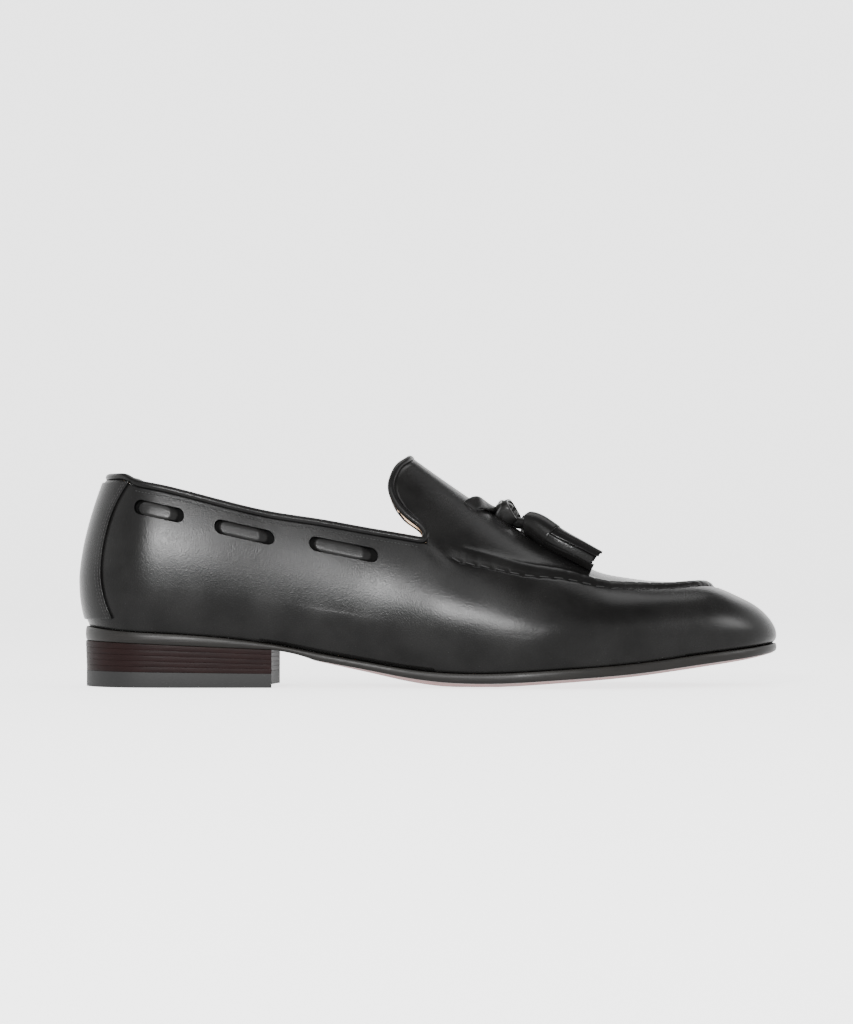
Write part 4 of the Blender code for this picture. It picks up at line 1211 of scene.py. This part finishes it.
def make_knot(finish):
    """The lace's flat strap folded round itself: each turn is a loop of superellipse plan."""
    middle = on_vamp(np.array(KNOT_STATION * SOLE_LENGTH), np.array(0.0), LATERAL,
                     np.array(KNOT_LIFT * KNOT_SIZE))
    parts = []
    turn = np.linspace(0, 2 * math.pi, 96, endpoint=False)
    for lean_x, lean_z, lean_y, shift, size, wide in KNOT_TURNS:
        axis = np.array([lean_x, lean_y, lean_z])
        axis /= np.linalg.norm(axis)
        u = np.cross(axis, (0.0, 1.0, 0.0))
        u /= np.linalg.norm(u)
        v = np.cross(axis, u)
        power = KNOT_SQUARENESS
        fuller = (np.abs(np.cos(turn)) ** power + np.abs(np.sin(turn)) ** power) ** (1 / power)
        radius = size * KNOT_SIZE / 2 / fuller
        out = np.cos(turn)[:, None] * u + np.sin(turn)[:, None] * v
        line = radius[:, None] * out * np.array(KNOT_STRETCH) + shift * KNOT_SIZE * axis
        way = unit(np.roll(line, -1, axis=0) - np.roll(line, 1, axis=0))
        face = unit(np.cross(way, axis))
        rings = strap_rings(middle + line, axis[None, :], face, wide * MM / 2, KNOT_THICKNESS / 2, 16, 0.5,
                            math.pi / 16)
        parts.append(part(np.concatenate([rings, rings[:1]]), wrap=True))
    return piece("folded_knot", parts, [finish], ["lace_knot"], None, 40)


def tassel_frame(side, count):
    """The tassel's middle line and its two cross directions, along its whole length."""
    station, ratio, lift = (np.array(c) for c in zip(*TASSEL_LINE))
    points = on_vamp(station * SOLE_LENGTH, ratio, side, lift * TASSEL_RADIUS)
    run = seam_length(points)
    at = np.linspace(0, run[-1], count)
    line = sampled(run, points, at)
    way = unit(np.gradient(line, axis=0))
    across = unit(np.cross(way, (0.0, 0.0, 1.0)))
    over = np.cross(across, way)
    marks = run[2:4] / run[-1]
    return line, across, over, at / run[-1], marks


def ring_at(line, across, over, radius, turn):
    """Points at an angle and a radius round the tassel's line, for each place along it."""
    spread = np.cos(turn)[..., None] * across[:, None] + np.sin(turn)[..., None] * over[:, None]
    return line[:, None] + radius[..., None] * spread


def make_tassel(side, leather):
    """A cord's neck, a sleeve of one leather wrap with its lapped edge, and a fringe of separate strips."""
    line, across, over, share, (head, mouth) = tassel_frame(side, 120)
    turn = np.linspace(0, 2 * math.pi, 60, endpoint=False)[None, :]
    on = (share >= head) & (share <= mouth)
    s = ((share[on] - head) / (mouth - head))[:, None]
    ease = np.clip(np.minimum(s, 1 - s) / 0.05, 0, 1)
    lap = 0.55 * MM * np.clip(1 - ((turn - 2.2) % (2 * math.pi)) / 1.1, 0, 1)
    size = TASSEL_RADIUS * (0.94 + 0.11 * s) - 0.35 * MM * (1 - ease) ** 2 + lap
    rings = ring_at(line[on], across[on], over[on], size, turn + 0 * s)
    inner = [ring_at(line[on][k:k + 1], across[on][k:k + 1], over[on][k:k + 1], size[k:k + 1] * deep,
                     turn) for k, deep in ((0, 0.35), (-1 + on.sum(), 0.7))]
    rings = np.concatenate([inner[0], rings, inner[1]])
    parts = [part(rings, wrap=True, ends=True)]
    neck = share < head + 0.02
    level = 0 * share[neck][:, None]
    rings = ring_at(line[neck], across[neck], over[neck], 0.36 * TASSEL_RADIUS + level + 0 * turn,
                    turn + level)
    parts.append(part(rings, wrap=True, ends=True))
    chance = np.random.default_rng(FRINGE_SEED + side)
    under = share > mouth - 0.05
    t = (share[under] - mouth + 0.05) / (1.05 - mouth)
    layers = ((0.84, FRINGE_COUNT, 0.92), (0.56, FRINGE_COUNT - 3, 0.90), (0.22, 3, 0.87))
    for layer, count, reach in layers:
        for n in range(count):
            angle = 2 * math.pi * (n + 0.5 * (layer < 0.8) + chance.uniform(-0.06, 0.06)) / count
            sway = chance.uniform(-0.14, 0.14)
            size = TASSEL_RADIUS * layer * (1 + 0.05 * (-1) ** n + chance.uniform(-0.05, 0.07) * t)
            keep = np.linspace(0, reach + chance.uniform(-0.08, 0.08), 26) * (len(t) - 1)
            spread = (np.cos(angle + sway * t)[:, None] * across[under]
                      + np.sin(angle + sway * t)[:, None] * over[under])
            index = np.arange(len(t))
            path = line[under] + size[:, None] * spread
            path, out = (sampled(index, rows, keep, straight) for rows in (path, spread))
            parts.append(strip_of(path, out, STRIP_WIDTH * chance.uniform(0.86, 1.02)))
    return piece(f"leather_tassel_{SIDE_NAMES[side]}", parts, [leather],
                 [f"tassel_{SIDE_NAMES[side]}"], None, 45)


def strip_of(path, outward, wide):
    """A flat strip with eased edges carried along a path, its face turned outwards, square at its end."""
    way = unit(np.gradient(path, axis=0))
    out = outward - (outward * way).sum(axis=1, keepdims=True) * way
    out /= np.maximum(np.linalg.norm(out, axis=1, keepdims=True), 1e-9)
    across = np.cross(way, out)
    rings = strap_rings(path, across, out, wide / 2, STRIP_THICKNESS / 2, 12, 0.45, math.pi / 12)
    return part(rings, wrap=True, ends=True)


class Wire:
    """One socket of a finish. Operators on it add Math nodes."""

    def __init__(self, finish, socket):
        self.finish = finish
        self.socket = socket

    def work(self, operation, a, b):
        return self.finish.node("ShaderNodeMath", {"operation": operation}, {0: a, 1: b})

    def __add__(self, other):
        return self.work("ADD", self, other)

    def __sub__(self, other):
        return self.work("SUBTRACT", self, other)

    def __rsub__(self, other):
        return self.work("SUBTRACT", other, self)

    def __mul__(self, other):
        return self.work("MULTIPLY", self, other)

    __radd__ = __add__
    __rmul__ = __mul__


class Finish:
    """A material with a Principled shader, and one way to add any other node."""

    def __init__(self, name, **constants):
        self.material = bpy.data.materials.new(name)
        self.material.use_nodes = True
        self.tree = self.material.node_tree
        self.shader = self.tree.nodes["Principled BSDF"]
        for key, value in constants.items():
            self.shader.inputs[key.replace("_", " ").title().replace("Ior", "IOR")].default_value = value

    def node(self, kind, settings, links, out=0):
        """Any node: its settings first, then the values or wires of its sockets."""
        made = self.tree.nodes.new(kind)
        for key, value in settings.items():
            setattr(made, key, value)
        for place, value in links.items():
            if isinstance(value, Wire):
                self.tree.links.new(value.socket, made.inputs[place])
            else:
                made.inputs[place].default_value = value
        return Wire(self, made.outputs[out])

    def stretched(self, size):
        """Object places divided by one size or by a size along each axis."""
        places = self.node("ShaderNodeTexCoord", {}, {}, 3)
        scale = tuple(float(1 / s) for s in np.broadcast_to(size, 3))
        return self.node("ShaderNodeMapping", {}, {0: places, 3: scale})

    def noise(self, size, detail):
        return self.node("ShaderNodeTexNoise", {}, {"Vector": self.stretched(size), "Scale": 1.0,
                                                    "Detail": detail})

    def cells(self, size):
        """Soft cells of that size."""
        return self.node("ShaderNodeTexVoronoi", {"feature": "SMOOTH_F1"},
                         {"Vector": self.stretched(size), "Scale": 1.0})

    def step(self, value, low, high):
        """0 below low and 1 above high, smooth between."""
        return self.node("ShaderNodeMapRange", {"interpolation_type": "SMOOTHSTEP"},
                         {0: value, 1: low, 2: high, 3: 0.0, 4: 1.0})

    def mix(self, a, b, factor):
        return self.node("ShaderNodeMix", {"data_type": "RGBA"}, {0: factor, 6: a, 7: b}, 2)

    def into(self, name, wire):
        self.tree.links.new(wire.socket, self.shader.inputs[name])

    def bump(self, height, distance, strength):
        self.into("Normal", self.node("ShaderNodeBump", {}, {"Strength": strength, "Distance": distance,
                                                             "Height": height}))


def grey(level, warm=0.0):
    return (level * (1 + warm), level, level * (1 - warm), 1.0)


def calf_finish():
    """Black calf: fine pebbled grain, gloss that changes softly, and dust-dull patches at random."""
    f = Finish("black_calf", roughness=0.36, specular_ior_level=0.07)
    pebble = f.cells(0.50 * MM)
    fine = f.noise(0.35 * MM, 2.0)
    cloud = f.noise(22 * MM, 4.0)
    worn = f.step(cloud, 0.35, 0.68)
    f.into("Base Color", f.mix(grey(0.0028, 0.02), grey(0.0048, 0.02), worn))
    f.into("Roughness", worn * 0.06 + fine * 0.08 + 0.18)
    f.bump(pebble * 0.9 + fine * 0.7 + cloud * 0.5, 0.13 * MM, 0.30)
    return f.material


def plain_finish(name, gloss, size, detail, dark, light, roughness=None, bump=None):
    """A finish that one noise mottles: gloss is its bare roughness and specular level.

    The noise times the first number of roughness plus the second is the roughness, if that is given, and
    bump holds the relief's distance and strength.
    """
    f = Finish(name, roughness=gloss[0], specular_ior_level=gloss[1])
    mottle = f.noise(size, detail)
    f.into("Base Color", f.mix(dark, light, mottle))
    if roughness:
        f.into("Roughness", mottle * roughness[0] + roughness[1])
    if bump:
        f.bump(mottle, *bump)
    return f.material


def shade_finish():
    """The cut insides of slots and windows, painted near black as shade where hardly any light comes back."""
    return plain_finish("painted_shade_cut", (0.8, 0.03), 0.6 * MM, 3.0, grey(0.0008), grey(0.0022),
                        bump=(0.06 * MM, 0.4))


def edge_finish():
    return plain_finish("waxed_edge", (0.34, 0.09), (9 * MM, 9 * MM, 0.5 * MM), 4.0, grey(0.003),
                        grey(0.008, 0.1), (0.25, 0.25), (0.10 * MM, 0.4))


def rubber_finish():
    return plain_finish("black_rubber", (0.6, 0.13), 0.5 * MM, 3.0, grey(0.004), grey(0.008), (0.2, 0.5),
                        (0.08 * MM, 0.4))


def thread_finish():
    return plain_finish("black_thread", (0.5, 0.15), 0.25 * MM, 2.0, grey(0.004), grey(0.010))


def lining_finish():
    f = Finish("tan_lining", roughness=0.62)
    pores = f.noise(0.6 * MM, 3.0)
    cloud = f.noise(14 * MM, 4.0)
    f.into("Base Color", f.mix((0.70, 0.52, 0.36, 1.0), (0.78, 0.61, 0.45, 1.0), f.step(cloud, 0.3, 0.7)))
    f.into("Roughness", pores * 0.2 + 0.5)
    f.bump(pores, 0.08 * MM, 0.5)
    return f.material


def tread_finish():
    f = Finish("dark_red_sole", roughness=0.5, specular_ior_level=0.25)
    cloud = f.noise(16 * MM, 5.0)
    fibre = f.noise((3 * MM, 0.5 * MM, 0.5 * MM), 4.0)
    dark = (0.080, 0.016, 0.013, 1.0)
    light = (0.125, 0.028, 0.022, 1.0)
    f.into("Base Color", f.mix(dark, light, f.step(cloud, 0.3, 0.7)))
    f.into("Roughness", fibre * 0.3 + 0.35)
    f.bump(fibre, 0.10 * MM, 0.4)
    return f.material


def stack_finish():
    f = Finish("stacked_heel", roughness=0.5, specular_ior_level=0.03)
    fibre = f.noise((7 * MM, 7 * MM, 0.35 * MM), 4.0)
    cloud = f.noise((12 * MM, 12 * MM, 3 * MM), 3.0)
    dark = (0.0026, 0.0018, 0.0018, 1.0)
    light = (0.0085, 0.0038, 0.0036, 1.0)
    f.into("Base Color", f.mix(dark, light, fibre * 0.6 + cloud * 0.4))
    f.into("Roughness", fibre * 0.25 + 0.3)
    f.bump(fibre, 0.12 * MM, 0.5)
    return f.material


def floor_finish():
    f = Finish("pale_floor", base_color=(0.30, 0.30, 0.30, 1.0), roughness=0.9,
               emission_color=(1.0, 1.0, 1.0, 1.0), emission_strength=FLOOR_GLOW)
    return f.material


def make_stage():
    """A round pale floor whose rim rises far from the shoe: radius and height by one profile."""
    bend = np.linspace(0.1, math.pi / 2, 14)
    reach = np.concatenate([np.linspace(0.001, FLOOR_FLAT, 14), FLOOR_FLAT + RIM_REACH * np.sin(bend)])
    rise = np.concatenate([np.zeros(14), RIM_HEIGHT * (1 - np.cos(bend))])
    turn = np.linspace(0, 2 * math.pi, 96, endpoint=False)
    points = np.stack(np.broadcast_arrays(reach[:, None] * np.cos(turn), reach[:, None] * np.sin(turn),
                                          rise[:, None] - 0.0002), axis=-1)
    faces = grid_faces(*points.shape[:2], wrap=True) + [tuple(range(96))]
    shape = bpy.data.meshes.new("floor")
    shape.from_pydata(points.reshape(-1, 3).tolist(), [], faces)
    shape.shade_smooth()
    shape.materials.append(floor_finish())
    floor = show("floor", shape)


def aim(holder, place, target):
    holder.location = place
    holder.rotation_euler = (Vector(target) - Vector(place)).to_track_quat("-Z", "Y").to_euler()


def make_lights():
    world = bpy.data.worlds.new("studio")
    bpy.context.scene.world = world
    world.use_nodes = True
    sky = world.node_tree.nodes["Background"]
    sky.inputs[0].default_value = (1.0, 1.0, 1.0, 1.0)
    sky.inputs[1].default_value = WORLD_LIGHT
    for name, place, size, power in LAMPS:
        lamp = bpy.data.lights.new(name, "AREA")
        lamp.shape = "RECTANGLE"
        lamp.size, lamp.size_y = size
        lamp.energy = power
        aim(show(name, lamp), place, LIGHT_TARGET)


def make_camera():
    lens = bpy.data.cameras.new("camera")
    lens.lens = CAMERA_LENS
    holder = show("camera", lens)
    aim(holder, CAMERA_PLACE, CAMERA_TARGET)
    bpy.context.scene.camera = holder


def make_threads(finish, heights, reach):
    """The rows of stitches: under the collar, beside the strap's edges and across the apron's roll."""
    rows = []
    strap = []
    for side in (LATERAL, MEDIAL):
        x = np.linspace(0.062 * SOLE_LENGTH, (NOTCH_STATION - 0.01) * SOLE_LENGTH, 160)
        rows.append(side_row(x, collar_edge(x) - 1.7 * MM, side, 0.05 * MM))
        for back in (1.1 * MM, 2.4 * MM):
            width = x_at(reach)
            strap.append(side_row(np.maximum(width - back, 0.5 * MM), heights, side,
                                  STRAP_THICKNESS + 0.05 * MM))
    stitches("collar_thread", rows, 1.5 * MM, 1.1 * MM, 0.24 * MM, finish)
    stitches("strap_thread", strap, 1.6 * MM, 1.15 * MM, 0.24 * MM, finish)
    apron = []
    for side in (LATERAL, MEDIAL):
        line = vamp_surface(side)[1][LOW_ROWS - 1]
        shown = line[:, 0] > 0.522 * SOLE_LENGTH
        out = np.zeros_like(line)
        out[:, 1] = side
        out[:, 2] = 1.0
        apron.append((line[shown] + (0, 0, 0.25 * MM), out[shown]))
    stitches("apron_thread", apron, SEAM_PITCH, 4.2 * MM, 0.42 * MM, finish)


def main():
    calf = calf_finish()
    lining = lining_finish()
    edge = edge_finish()
    shade = shade_finish()
    make_upper(calf, lining, shade)
    make_outsole(edge, tread_finish(), edge)
    make_insole(lining)
    make_heel(stack_finish(), rubber_finish())
    make_piping(calf, lining)
    heights, reach = make_back_strap(calf)
    make_lace_bars(calf, shade)
    make_slots(calf, shade)
    make_laces_and_tassels(calf)
    make_threads(thread_finish(), heights, reach)
    make_stage()
    make_lights()
    make_camera()


main()
